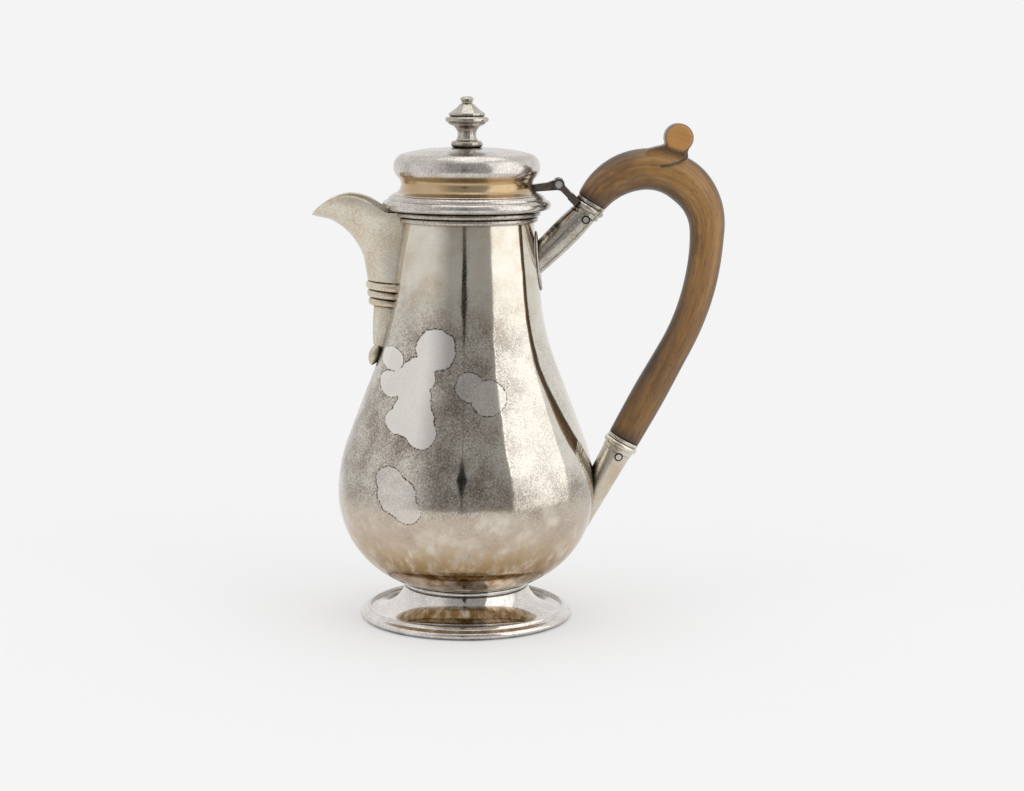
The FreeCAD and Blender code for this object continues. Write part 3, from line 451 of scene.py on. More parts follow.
def turned(name, path, material, gap=0.5, closed=True, place=None, points=None):
    """A piece turned from an outline of corners, or of points, in millimetres."""
    turning = bpy.context.scene.pot_turning
    if points is None:
        points = trace(path, gap, closed)
    points = ease(points, turning.edge / MM, closed)
    vertices = [(z * MM, (r - TURN_RADIUS) * MM, 0) for r, z in points]
    count = len(vertices)
    edges = [(i, (i + 1) % count) for i in range(count if closed else count - 1)]
    thing = new_object(name, vertices, edges=edges)
    run_tree(thing, turning_tree, "Turning", {"Steps": turning.steps, "Material": material})
    if place is not None:
        thing.data.transform(place)
    return thing


def swept(name, points, halves, flatness, material, around):
    """A piece swept along points in the pot's upright plane, in millimetres."""
    vertices = [(x * MM, 0, z * MM) for x, z in points]
    thing = new_object(name, vertices, edges=[(i, i + 1) for i in range(len(vertices) - 1)])
    note(thing.data, "half", np.array(halves, np.float32) * MM)
    values = {"Around": around, "Flatness": flatness, "Material": material}
    return run_tree(thing, sweeping_tree, "Sweeping", values)


def at_lean(x, z, lean):
    """Placement at (x, z), its own upright leaning towards the handle by lean."""
    return Matrix.Translation((x * MM, 0, z * MM)) @ Matrix.Rotation(math.radians(lean), 4, "Y")


def hand_over(thing, body, slot, material, *nodes):
    """Let a finished piece ride on its body in place of its solids, kept inside the box of all the solids."""
    move_spots(thing.data, np.clip(spots_of(thing.data), *CAD_BOX))
    thing.data.materials.clear()
    thing.data.materials.append(material)
    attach(thing, body)
    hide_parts(*nodes)


def lathe(solid, body, name, path, metal, gap, **options):
    """Turn a piece of silver in place of a solid."""
    hand_over(turned(name, path, metal, gap, **options), body, "silver", metal, solid)


def coat(name, material):
    """Give a solid that is shown as it is its material."""
    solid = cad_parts[name]
    solid.data.materials.clear()
    solid.data.materials.append(material)


# Materials

def per(length):
    """Texture scale of a pattern whose features are that many metres wide."""
    return 1.0 / length


def new_material(name):
    """The material of that name, with its shader and the function that adds nodes to it if it is new."""
    material = bpy.data.materials.get(name)
    if material:
        return material, None, None
    material = bpy.data.materials.new(name)
    material.use_nodes = True
    tree = material.node_tree
    return material, tree.nodes["Principled BSDF"], functools.partial(add, tree, "ShaderNode")


# Settings that many nodes share
SMOOTH = {"interpolation_type": "SMOOTHSTEP"}
TIMES = {"operation": "MULTIPLY", "use_clamp": True}
PLUS = {"operation": "ADD", "use_clamp": True}
SCALED = {"operation": "MULTIPLY_ADD"}
COLOURS = {"data_type": "RGBA"}

# Widths in metres: clouds in the tarnish, the softest marks of the hammer, and the reach of painted shade and
# soot in recesses
CLOUD = 0.011
HAMMER = 0.009
RECESS = 0.0035

# Clean places left by a cloth on the near side of the body:
# how clean each is, then the centre and radius of its lobes in millimetres
CLEAN_PLACES = (
    (0.8, ((-11.8, 118.3, 8.4), (-19.0, 108.0, 7.2), (-21.2, 92.0, 8.9), (-17.6, 86.0, 6.4),
           (-27.8, 89.5, 4.8), (-30.0, 113.2, 4.8), (-30.2, 103.6, 5.2), (-20.5, 100.0, 7.2),
           (-25.0, 104.5, 5.8))),
    (0.45, ((2.0, 104.2, 5.8), (9.9, 99.8, 7.0))),
    (0.42, ((-30.0, 66.2, 5.8), (-27.0, 60.5, 8.2), (-22.7, 55.0, 5.4))),
)


# Place on a piece, the same place axis by axis, and the two patterns of the film there
Ground = collections.namedtuple("Ground", "where axes specks clouds")


def between(put, value, rise, fall):
    """One between two limits of a value and nothing outside them, with soft edges."""
    above = put("MapRange", (value, *rise), **SMOOTH)
    below = put("MapRange", (value, *fall), **SMOOTH)
    return put("Math", (above, below), **TIMES)


def from_axis(put, where, x, z, radius):
    """Distance from an axis across the pot, as a share of the radius, all in millimetres."""
    shift = put("VectorMath", (where, (x * MM, 0.0, z * MM)), operation="SUBTRACT")
    share = (1 / (radius * MM), 0.0, 1 / (radius * MM))
    shift = put("VectorMath", (shift, share), operation="MULTIPLY")
    return put("VectorMath", (shift,), operation="LENGTH")


def belly_tarnish(put, ground, shade, finish):
    """Warm tarnish low on the belly and straw up the neck, with clean places on the near side."""
    where, axes, specks, clouds = ground
    height = axes["Z"]
    drawn = put("VectorMath", (where, (1.0, 1.0, 0.35)), operation="MULTIPLY")
    streaks = put("TexNoise", (drawn, per(0.006), 4.0, 0.65))
    blots = put("TexNoise", (where, per(0.012), 5.0, 0.62))
    # Heights between which each film thickens, the pattern that breaks it up, and its colour
    for zone, pattern, levels, tint in (
        ((0.062, 0.048), blots, (0.30, 0.60, 0.35, 1.0), finish.rose),
        ((0.062, 0.048), blots, (0.50, 0.68, 0.0, 0.75), finish.straw),
        ((0.050, 0.026), streaks, (0.30, 0.58), finish.gold),
        ((0.040, 0.022), streaks, (0.36, 0.62), finish.brown),
    ):
        near = put("MapRange", (height, *zone), **SMOOTH)
        broken = put("MapRange", (pattern, *levels), **SMOOTH)
        film = put("Math", (near, broken), **TIMES)
        shade = put("Mix", (film, shade, tint), **COLOURS)
    patchy = put("MapRange", (clouds, 0.35, 0.80, 0.0, 0.5), **SMOOTH)
    straw = put("Mix", (patchy, finish.straw, finish.gold), **COLOURS)
    neck = put("MapRange", (height, 0.118, 0.150, 0.0, 0.85), **SMOOTH)
    shade = put("Mix", (neck, shade, straw), **COLOURS)
    ragged = put("TexNoise", (where, per(0.004), 2.0, 0.5))
    ragged = put("Math", (ragged, 0.3, -0.15), **SCALED)
    near_side = put("MapRange", (axes["Y"], -0.004, -0.010), **SMOOTH)
    dotted = put("MapRange", (specks, 0.40, 0.56), **SMOOTH)
    dotted = put("Math", (dotted, near_side), **TIMES)
    for share, lobes in CLEAN_PLACES:
        nearest = 9.0
        for lobe in lobes:
            away = from_axis(put, where, *lobe)
            nearest = put("Math", (nearest, away, 0.15), operation="SMOOTH_MIN")
        nearest = put("Math", (nearest, ragged))
        clean = put("MapRange", (nearest, 1.0, 0.95, 0.0, share), **SMOOTH)
        clean = put("Math", (clean, near_side), **TIMES)
        shade = put("Mix", (clean, shade, finish.clean), **COLOURS)
        edge = between(put, nearest, (0.94, 1.0), (1.07, 1.0))
        edge = put("Math", (edge, dotted), **TIMES)
        shade = put("Mix", (edge, shade, finish.soot), **COLOURS)
    return shade


def waist_tarnish(put, ground, shade, finish):
    """Gold tarnish in the hollow between the flange and the cap of the lid."""
    hollow = between(put, ground.axes["Z"], (0.1785, 0.1820), (0.1895, 0.1865))
    patchy = put("Math", (ground.clouds, 0.8, 0.5), **SCALED)
    film = put("Math", (hollow, patchy), **TIMES)
    return put("Mix", (film, shade, finish.gold), **COLOURS)


def rivet_tarnish(put, ground, shade, finish):
    """Lower socket warmer and lighter below 0.13 m, with less patina, and a dark ring round the head of each
    handle pin.
    """
    patchy = put("MapRange", (ground.clouds, 0.35, 0.75, 0.0, 0.6), **SMOOTH)
    warm = put("Mix", (patchy, finish.straw, finish.gold), **COLOURS)
    thinned_film = put("MapRange", (ground.axes["Z"], 0.13, 0.10, 0.0, 0.85), **SMOOTH)
    shade = put("Mix", (thinned_film, shade, warm), **COLOURS)
    for end, lean in ((UPPER_END, UPPER_LEAN), (LOWER_END, LOWER_LEAN)):
        out, up = lean_vectors(lean)
        away = from_axis(put, ground.where, *(end + out * PIN_OUT - up * PIN_BELOW), PIN_RADIUS)
        ring = between(put, away, (0.95, 1.05), (1.65, 1.40))
        shade = put("Mix", (ring, shade, finish.soot), **COLOURS)
    return shade


# Colours of the clean metal and of its film, how much film there is and its contrast, the roughness of both
# (the panel's own where none is given), the tarnish of special places, how far the film thins on the handle
# side, partly a painted highlight, and how far black painted shade reaches along edges
Silver = collections.namedtuple(
    "Silver", "tint tarnish amount contrast polish bloom places rub dark_edge", defaults=(None, 0.0, 0.0))
SILVERS = {
    # Raised by hammer: soft ripples under a thick, speckled film
    "raised_silver": Silver("straw", "patina", 0.6, 1.0, None, None, belly_tarnish, rub=0.55),
    # Rubbed up by hand: soft, warm reflections
    "polished_silver": Silver("straw", "patina", 0.45, 0.7, 0.18, 0.3, rivet_tarnish),
    # Spun on a lathe: the clearest mirror, with little film
    "spun_silver": Silver("clean", "patina", 0.2, 0.55, 0.08, 0.16),
    # Cast and chased: a yellow, satin surface
    "cast_silver": Silver("straw", "gold", 0.30, 0.8, 0.26, 0.38),
    # Spun and worn by hands: pale satin, gold in the hollow
    "lid_silver": Silver("clean", "patina", 0.42, 0.55, 0.17, 0.27, waist_tarnish),
    # Filed up and never cleaned: dark metal, with black painted shade along its edges
    "hinge_silver": Silver("patina", "soot", 0.2, 0.6, 0.15, 0.3, dark_edge=0.0005),
    # Turned and burnished: sharp reflections through a grey film
    "finial_silver": Silver("straw", "patina", 0.5, 0.7, 0.06, 0.14),
}


def silver(name):
    """Sterling silver: a bright mirror under a broken, speckled film of tarnish that dulls and warms it, with
    painted shade and tarnish in its recesses.
    """
    material, shader, put = new_material(name)
    if put is None:
        return material
    finish = bpy.context.scene.pot_silver
    kind = SILVERS[name]
    where = put("TexCoord").outputs["Object"]
    axes = put("SeparateXYZ", (where,)).outputs
    specks = put("TexNoise", (where, per(finish.speckle), 4.0, 0.7))
    clouds = put("TexNoise", (where, per(CLOUD), 4.0, 0.6))
    dots = put("Math", (specks, 3.0 * kind.contrast, kind.amount - 1.5 * kind.contrast), **SCALED)
    swell = put("Math", (clouds, 1.6 * kind.contrast, -0.8 * kind.contrast), **SCALED)
    film = put("Math", (dots, swell), **PLUS)
    # Film thinned towards the handle side of the upper belly: partly cleaner metal, partly a painted
    # highlight that lightens the metal where the bright right panel is mirrored
    if kind.rub:
        to_handle = put("MapRange", (axes["X"], 0.004, 0.030, 0.0, -kind.rub), **SMOOTH)
        upper = put("MapRange", (axes["Z"], 0.055, 0.075), **SMOOTH)
        thinned_film = put("Math", (to_handle, upper), operation="MULTIPLY")
        film = put("Math", (film, thinned_film), **PLUS)
    shade = put("Mix", (film, getattr(finish, kind.tint), getattr(finish, kind.tarnish)), **COLOURS)
    dullness = put("MapRange", (film, 0.0, 1.0, kind.polish or finish.polish, kind.bloom or finish.bloom),
                   **SMOOTH)
    if kind.places:
        shade = kind.places(put, Ground(where, axes, specks, clouds), shade, finish)
    # Painted shade: soot colour laid into recesses where ambient occlusion finds them, standing for both the
    # shade and the tarnish there
    open_air = put("AmbientOcclusion", {"Distance": RECESS}, samples=6).outputs["AO"]
    recess_shade_and_soot = put("MapRange", (open_air, 0.85, 0.35, 0.0, 0.85), **SMOOTH)
    patchy = put("Math", (clouds, 0.9, 0.5), **SCALED)
    recess_shade_and_soot = put("Math", (recess_shade_and_soot, patchy), **TIMES)
    shade = put("Mix", (recess_shade_and_soot, shade, finish.soot), **COLOURS)
    # Painted shade: soot laid along edges where the rounded normal turns away from the flat one
    if kind.dark_edge:
        rounded = put("Bevel", {"Radius": kind.dark_edge}, samples=6)
        flat = put("NewGeometry").outputs["Normal"]
        turn = put("VectorMath", (rounded, flat), operation="DOT_PRODUCT")
        edge = put("MapRange", (turn, 0.995, 0.90, 0.0, 0.8), **SMOOTH)
        shade = put("Mix", (edge, shade, finish.soot), **COLOURS)
    hammer = put("TexNoise", (where, per(HAMMER), 1.0))
    bump = put("Bump", {"Strength": 0.04, "Distance": 0.002, "Height": hammer})
    feed(shader, {"Base Color": shade, "Roughness": dullness, "Normal": bump, "Metallic": 1.0})
    return material


def fruitwood(name):
    """Fruitwood: close brown grain that runs along the handle, dark pores, ends darkened by wear, painted
    shade on its edges, satin polish.
    """
    material, shader, put = new_material(name)
    if put is None:
        return material
    finish = bpy.context.scene.pot_wood
    run = put("Attribute", attribute_name="grain").outputs["Vector"]
    noises = []
    # Grain lines, pores and clouds: how far each is drawn out along the handle, width, detail, roughness.
    # Pores are drawn coarser than real ones, so that they show
    for share, width, detail, rough in (
        (0.06, finish.grain, 5.0, 0.65),
        (0.10, finish.grain / 4, 2.0, 0.6),
        (0.5, 0.014, 3.0, 0.6),
    ):
        drawn = put("VectorMath", (run, (share, 1.0, 1.0)), operation="MULTIPLY")
        noises.append(put("TexNoise", (drawn, per(width), detail, rough)))
    lines, pores, clouds = noises
    where = put("TexCoord").outputs["Object"]
    height = put("SeparateXYZ", (where,)).outputs["Z"]
    pale = put("MapRange", (lines, 0.26, 0.74), **SMOOTH)
    shade = put("Mix", (pale, finish.middle, finish.light), **COLOURS)
    # Stains, darker towards the bottom of the handle, and open pores
    for pattern, levels in (
        (clouds, (0.50, 0.76, 0.0, 0.6)),
        (height, (0.185, 0.100, 0.0, 0.32)),
        (pores, (0.58, 0.70, 0.0, 0.6)),
    ):
        film = put("MapRange", (pattern, *levels), **SMOOTH)
        shade = put("Mix", (film, shade, finish.dark), **COLOURS)
    # Lighter end grain on the scroll's sides; then darkening from wear at the ends and painted shade on the
    # edges and carved line
    for label, levels, tint in (("bare", (0.9, 0.3), finish.cut), ("worn", (0.8, 0.5), finish.dark)):
        patchy = put("Math", (clouds, *levels), **SCALED)
        mark = put("Attribute", attribute_name=label).outputs["Fac"]
        mark = put("Math", (mark, patchy), **TIMES)
        shade = put("Mix", (mark, shade, tint), **COLOURS)
    dullness = put("MapRange", (lines, 0.3, 0.7, 0.42, 0.3), **SMOOTH)
    bump = put("Bump", {"Strength": 0.25, "Distance": 0.0004, "Height": pores})
    feed(shader, {"Base Color": shade, "Roughness": dullness, "Normal": bump,
                  "Coat Weight": 0.15, "Coat Roughness": 0.28})
    return material


# Body and foot

class PotOperator:
    bl_options = {"REGISTER", "UNDO"}

    def execute(self, context):
        self.make()
        return {"FINISHED"}


# Corners of the boxes that cut the pouring window, and the gap in the rim wire that the spout fills
WINDOW = (-60, -6, 147.5), (-20, 6, 162.5)
RIM_GAP = (-60, -12.3, 160), (0, 12.3, 180)


class POT_OT_body(PotOperator, bpy.types.Operator):
    """Raise the body, pierce it behind the spout and run the reeded wire round its rim"""
    bl_idname = "pot.body"
    bl_label = "Body and rim"

    def make(self):
        metal = silver("raised_silver")
        outside = pot_outline(0.0, 0.9)
        inside = pot_outline(WALL, 2.2)[::-1]
        floor = np.array(line_points((0.0, FLOOR), outside[0], 3.0))[:-1]
        inner_floor = np.array(line_points(inside[-1], (0.0, FLOOR + WALL), 3.0))
        points = np.vstack([[(0.0, FLOOR)], floor, outside, inside, inner_floor])
        body = turned("body", None, metal, closed=False, points=points)
        cut_box(body, *WINDOW)
        hand_over(body, "pot", "silver", metal, "body_shell")
        self.rim(silver("polished_silver"))

    def rim(self, metal):
        inner, low, groove = NECK_RADIUS - 0.3, RIM - 4.8, RIM - 2.4
        rim = turned("rim_wire", [
            (inner, low), (28.7, low), (28.7, groove, 29.8, (low + groove) / 2),
            (29.7, groove), (29.7, RIM, 30.8, (groove + RIM) / 2), (inner, RIM),
        ], metal, 0.3)
        cut_box(rim, *RIM_GAP)
        hand_over(rim, "pot", "silver", metal, "rim_moulding")


class POT_OT_foot(PotOperator, bpy.types.Operator):
    """Turn the rim wire, the spreading foot and the collet above it"""
    bl_idname = "pot.foot"
    bl_label = "Foot"

    def make(self):
        metal = silver("spun_silver")
        lathe("foot_rim", "pot", "foot_wire", [
            (41.8, 0.0), (43.5, 0.0), (43.3, 3.4, 45.2, 1.6), (41.8, 5.0, 42.3, 3.95),
        ], metal, 0.3)
        lathe("foot_shell", "pot", "spread_foot", [
            (41.8, 1.9), (41.8, 5.0), (40.9, 5.0), (40.9, 3.8), (26.2, 13.4, 30.5, 6.8),
            (25.3, 13.4), (40.9, 2.9, 29.864, 6.164), (40.9, 1.9),
        ], metal, 0.4)
        lathe("foot_collet", "pot", "foot_collet_ring", [
            (24.4, 13.4), (26.2, 13.4), (26.8, 15.8, 27.0, 14.6), (24.4, 15.8),
        ], metal, 0.3)


# Spout

SPOUT_ROOT = 28.0
SPOUT_BASE_REACH = 41.4
SPOUT_WALL = 1.0
LIP_EASE = 0.3
BAND_TOP = 143.5
BAND_TILT = 5.0
REEDS = 3
REED_HALF = 1.7
REED_EDGE = 1.68
REED_BULGE = 1.25
# Reach and half width of the highest reed, and how much less each has than the one above
BAND_REACH, BAND_HALF = 42.3, 9.7
REACH_STEP, HALF_STEP = 0.55, 1.8
DROP_TOP = BAND_TOP - 2 * REEDS * REED_HALF
DROP_FOOT = DROP_TOP - 16.6
# Reach of the drop at its top and foot, and its depth there into the pot
DROP_TOP_REACH, DROP_FOOT_REACH = 39.0, 39.4
DROP_FOOT_DEPTH = 5.04
# Place and lean of the bead
BEAD = (-38.55, 112.3, 20.0)
# Height, reach, half width and tilt of each level section
SPOUT_LEVELS = np.array([
    (BAND_TOP, SPOUT_BASE_REACH, 8.6, BAND_TILT),
    (156.0, 44.1, 10.0, 0.0),
    (163.5, 49.2, 11.0, 0.0),
    (168.3, 55.6, 11.8, 0.0),
    (170.8, 64.6, 12.2, 0.0),
    (173.5, 72.0, 12.6, 0.0),
    (176.3, 78.0, 13.0, 0.0),
    (181.8, 86.0, 13.7, 0.0),
])
LIP = trace([
    (-64.6, 170.8), (-49.5, 179.6, -58.2, 176.8), (-38.5, 176.2, -44.0, 178.7), (-33.0, 172.7), (40.0, 172.7),
], 0.4, False)


def length_along(points):
    """Distance along a row of points, at each of them."""
    return np.concatenate([[0], np.cumsum(np.linalg.norm(np.diff(points, axis=0), axis=1))])


def smooth_through(knots, values, at):
    """Values at places along a smooth curve through the knots."""
    slopes = np.gradient(values, knots, axis=0)
    index = np.clip(np.searchsorted(knots, at, side="right") - 1, 0, len(knots) - 2)
    width = (knots[index + 1] - knots[index])[:, None]
    t = ((at - knots[index])[:, None]) / width
    first, second = values[index], values[index + 1]
    rise, fall = slopes[index] * width, slopes[index + 1] * width
    return (first * (1 + 2 * t) * (1 - t) ** 2 + rise * t * (1 - t) ** 2
            + second * t * t * (3 - 2 * t) + fall * t * t * (t - 1))


def spout_points(levels, angles, inset):
    """Points of the spout's level ovals, one row for each level."""
    height, reach, half, tilt = (column[:, None] for column in levels.T)
    tilt = np.radians(tilt)
    root_z = height - (SPOUT_BASE_REACH - SPOUT_ROOT) * np.sin(tilt) + inset
    major = (reach - SPOUT_ROOT) / np.cos(tilt) - inset
    out = major * np.cos(angles)[None, :]
    x = -SPOUT_ROOT - out * np.cos(tilt)
    y = (half - inset) * np.sin(angles)[None, :]
    z = root_z + out * np.sin(tilt)
    return np.stack([x, y, z], axis=-1)


def rooted(first, rows, last):
    """Rows with one before and one after them that lead back into the pot's wall."""
    ends = [row.copy() for row in (first, last)]
    for end in ends:
        end[:, 0] = -SPOUT_ROOT
    return seat_on_pot(np.concatenate([ends[:1], rows, ends[1:]]))


class POT_OT_spout(PotOperator, bpy.types.Operator):
    """Form the beak of the spout, its reeded band, and the drop and bead below"""
    bl_idname = "pot.spout"
    bl_label = "Spout"

    def make(self):
        metal = silver("cast_silver")
        self.beak(metal)
        self.band(metal)
        self.drop(metal)
        self.bead(metal)

    def side(self, angles, inset, rows):
        """Rows of one face of the beak, from its base to the lip."""
        knots = length_along(SPOUT_LEVELS[:, :2])
        fine = np.linspace(0, knots[-1], 500)
        surface = spout_points(smooth_through(knots, SPOUT_LEVELS, fine), angles, inset)
        lip = np.interp(surface[..., 0], LIP[:, 0], LIP[:, 1])
        ends = np.argmax(surface[..., 2] >= lip, axis=0)
        shares = np.linspace(0, 1, rows)
        result = np.empty((rows, len(angles), 3))
        for j, end in enumerate(ends):
            over = surface[end, j, 2] - lip[end, j]
            under = lip[end - 1, j] - surface[end - 1, j, 2]
            stop = end - over / max(over + under, 1e-9)
            for axis in range(3):
                result[:, j, axis] = np.interp(shares * stop, np.arange(len(fine)), surface[:, j, axis])
        return result

    def beak(self, metal):
        angles = np.radians(np.linspace(-118, 118, 121))
        outer = self.side(angles, 0.0, 70)
        inner = self.side(angles, SPOUT_WALL, 70)[::-1]
        lip = (outer[-1] + inner[0]) / 2
        outer[-1, :, 2] -= LIP_EASE
        inner[0, :, 2] -= LIP_EASE
        rows = rooted(outer[0], np.concatenate([outer, lip[None], inner]), inner[-1])
        count, across = rows.shape[:2]
        faces = faces_between(count, across)
        for j in (0, across - 1):
            for i in range(count // 2):
                faces.append((i * across + j, (i + 1) * across + j,
                              (count - 2 - i) * across + j, (count - 1 - i) * across + j))
        for j in range(across - 1):
            last = (count - 1) * across + j
            faces.append((j, j + 1, last + 1, last))
        faces = [face for face in faces if len(set(face)) == len(face)]
        beak = new_object("spout_beak", rows.reshape(-1, 3) * MM, faces=faces)
        face_outward(beak.data)
        hand_over(beak, "pot", "silver", metal, "spout_shell")

    def band(self, metal):
        """Three reeds, each a half round that follows the oval of the spout's foot."""
        angles = np.radians(np.linspace(-125, 125, 81))
        sections = []
        for count in range(REEDS):
            middle = BAND_TOP - REED_HALF * (2 * count + 1)
            for level in np.linspace(-1, 1, 13):
                shrink = REED_BULGE * (1 - math.sqrt(1 - level * level * 0.98))
                reach = BAND_REACH - REACH_STEP * count - shrink
                half = BAND_HALF - HALF_STEP * count - shrink
                sections.append((middle - REED_EDGE * level, reach, half, BAND_TILT))
        rows = spout_points(np.array(sections), angles, 0.0)
        hand_over(skin("spout_reeds", rooted(rows[0], rows, rows[-1])), "pot", "silver", metal, "spout_band")

    def drop(self, metal):
        """Tapering drop: ovals that shrink from the lowest reed down to the bead."""
        around = np.radians(np.arange(0, 360, 6))
        tilt = math.radians(BAND_TILT)
        top_z = DROP_TOP - (SPOUT_BASE_REACH - SPOUT_ROOT) * math.sin(tilt)
        top_depth, foot_depth = DROP_TOP_REACH - SPOUT_ROOT, DROP_FOOT_DEPTH
        foot_root = DROP_FOOT_REACH - foot_depth
        knots = np.array([0.0, 0.5, 1.0])
        sections = np.array([
            (SPOUT_ROOT, top_z, top_depth, 4.0),
            ((SPOUT_ROOT + foot_root) / 2, (top_z + DROP_FOOT) / 2, (top_depth + foot_depth) / 2 + 0.3, 2.8),
            (foot_root, DROP_FOOT, foot_depth, 1.5),
        ])
        rows = []
        for root, z, depth, half in smooth_through(knots, sections, np.linspace(0, 1, 30)):
            out = depth * np.cos(around)
            x, z = -root - out * math.cos(tilt), z + out * math.sin(tilt)
            rows.append(np.column_stack([x, half * np.sin(around), z]))
        foot_row = rows[-1]
        middle = foot_row.mean(axis=0)
        for share in (0.35, 0.65, 0.85, 0.97):
            row = middle + (foot_row - middle) * math.sqrt(1 - share * share)
            row[:, 2] -= 2.2 * share
            rows.append(row)
        hand_over(skin("spout_drop_form", seat_on_pot(rows)), "pot", "silver", metal, "spout_drop")

    def bead(self, metal):
        bead = turned("spout_drop_bead", [
            (0.0, -4.9), (0.5, -4.8), (0.5, 4.8, 2.6, 0.0), (0.0, 4.9),
        ], metal, 0.25, closed=False, place=at_lean(*BEAD))
        move_spots(bead.data, seat_on_pot(spots_of(bead.data) / MM) * MM)
        hand_over(bead, "pot", "silver", metal, "spout_bead")


# Handle

CREST = (75.55, 190.45)
LEFT_RADIUS = 27.0
LEFT_SWEEP = 60.5
RIGHT_RADIUS = 24.75
BACK_RADIUS = 105.0
BACK_SWEEP = 28.4
STRAIGHT = 44.1
CREST_LOW = CREST[1] - RIGHT_RADIUS
BACK_X = CREST[0] + RIGHT_RADIUS - BACK_RADIUS
CREST_HALF = 8.62
UPPER_HALF = 6.5
# Thickness across the pot, as a share of the thickness in its upright plane
FLATNESS = 0.938


def lean_vectors(lean):
    """Directions out from an axis and up along it, for an axis leaning by that many degrees."""
    angle = math.radians(lean)
    return np.array([math.cos(angle), -math.sin(angle)]), np.array([math.sin(angle), math.cos(angle)])


def on_circle(x, z, radius, angle):
    return np.array([x, z]) + radius * towards(math.radians(angle))


on_back = functools.partial(on_circle, BACK_X, CREST_LOW, BACK_RADIUS)
on_right = functools.partial(on_circle, CREST[0], CREST_LOW, RIGHT_RADIUS)
on_left = functools.partial(on_circle, CREST[0], CREST[1] - LEFT_RADIUS, LEFT_RADIUS)
SHANK = on_back(-BACK_SWEEP)
LOWER_END = SHANK - STRAIGHT * lean_vectors(BACK_SWEEP)[1]
LOWER_LEAN = BACK_SWEEP
UPPER_END = on_left(90 + LEFT_SWEEP)
UPPER_LEAN = 90 - LEFT_SWEEP
# Head of each handle pin: how far out from the handle's line and below its end, and its radius
PIN_OUT = 1.3
PIN_BELOW = 7.5
PIN_RADIUS = 1.2


def handle_path():
    """Points from the lower end over the crest to the upper end, and the handle's half thickness at each."""
    marks = []
    for share, half in ((0.0, 6.8), (0.5, 7.1)):
        marks.append((*(LOWER_END + (SHANK - LOWER_END) * share), half))
    for angle, half in ((-BACK_SWEEP, 6.6), (-BACK_SWEEP / 2, 6.79)):
        marks.append((*on_back(angle), half))
    for angle, half in ((0, 7.35), (25, 8.175), (50, 9.0), (72, 8.81), (90, CREST_HALF)):
        marks.append((*on_right(angle), half))
    for share in (0.34, 0.68, 1.0):
        half = CREST_HALF + (UPPER_HALF - CREST_HALF) * share * share
        marks.append((*on_left(90 + LEFT_SWEEP * share), half))
    marks = np.array(marks)
    points = trace([
        tuple(LOWER_END),
        tuple(SHANK),
        (*on_back(0), *on_back(-BACK_SWEEP / 2)),
        (*CREST, *on_right(45)),
        (*UPPER_END, *on_left(90 + LEFT_SWEEP / 2)),
    ], 1.2, False)
    nearest = np.array([np.argmin(np.linalg.norm(points - mark, axis=1)) for mark in marks[:, :2]])
    along = length_along(points)
    halves = smooth_through(along[nearest], marks[:, 2:], along)[:, 0]
    return points, halves, along


SCROLL_ANGLE = 72.1
SCROLL_CENTRE = on_circle(CREST[0], CREST_LOW, RIGHT_RADIUS + 9.0 + 5.9, SCROLL_ANGLE)
SCROLL_RADIUS = 5.95
SCROLL_WIDTH = 13.4
# Middle of the gap that the fingers go through
GRIP_MIDDLE = np.array([62.0, 125.0])
# Carved lines on the sides of the scroll, from below the roll to the point of the ribbon
CARVED = [(91.6, 197.6), (90.6, 195.2), (87.5, 193.4), (83.5, 192.2), (80.2, 191.8)]
CARVED_DEPTH = 0.7
CARVED_WIDTH = 0.55


def ramp(values, start, end):
    """Nothing up to the start, rising evenly to one at the end."""
    return np.clip((values - start) / (end - start), 0, 1)


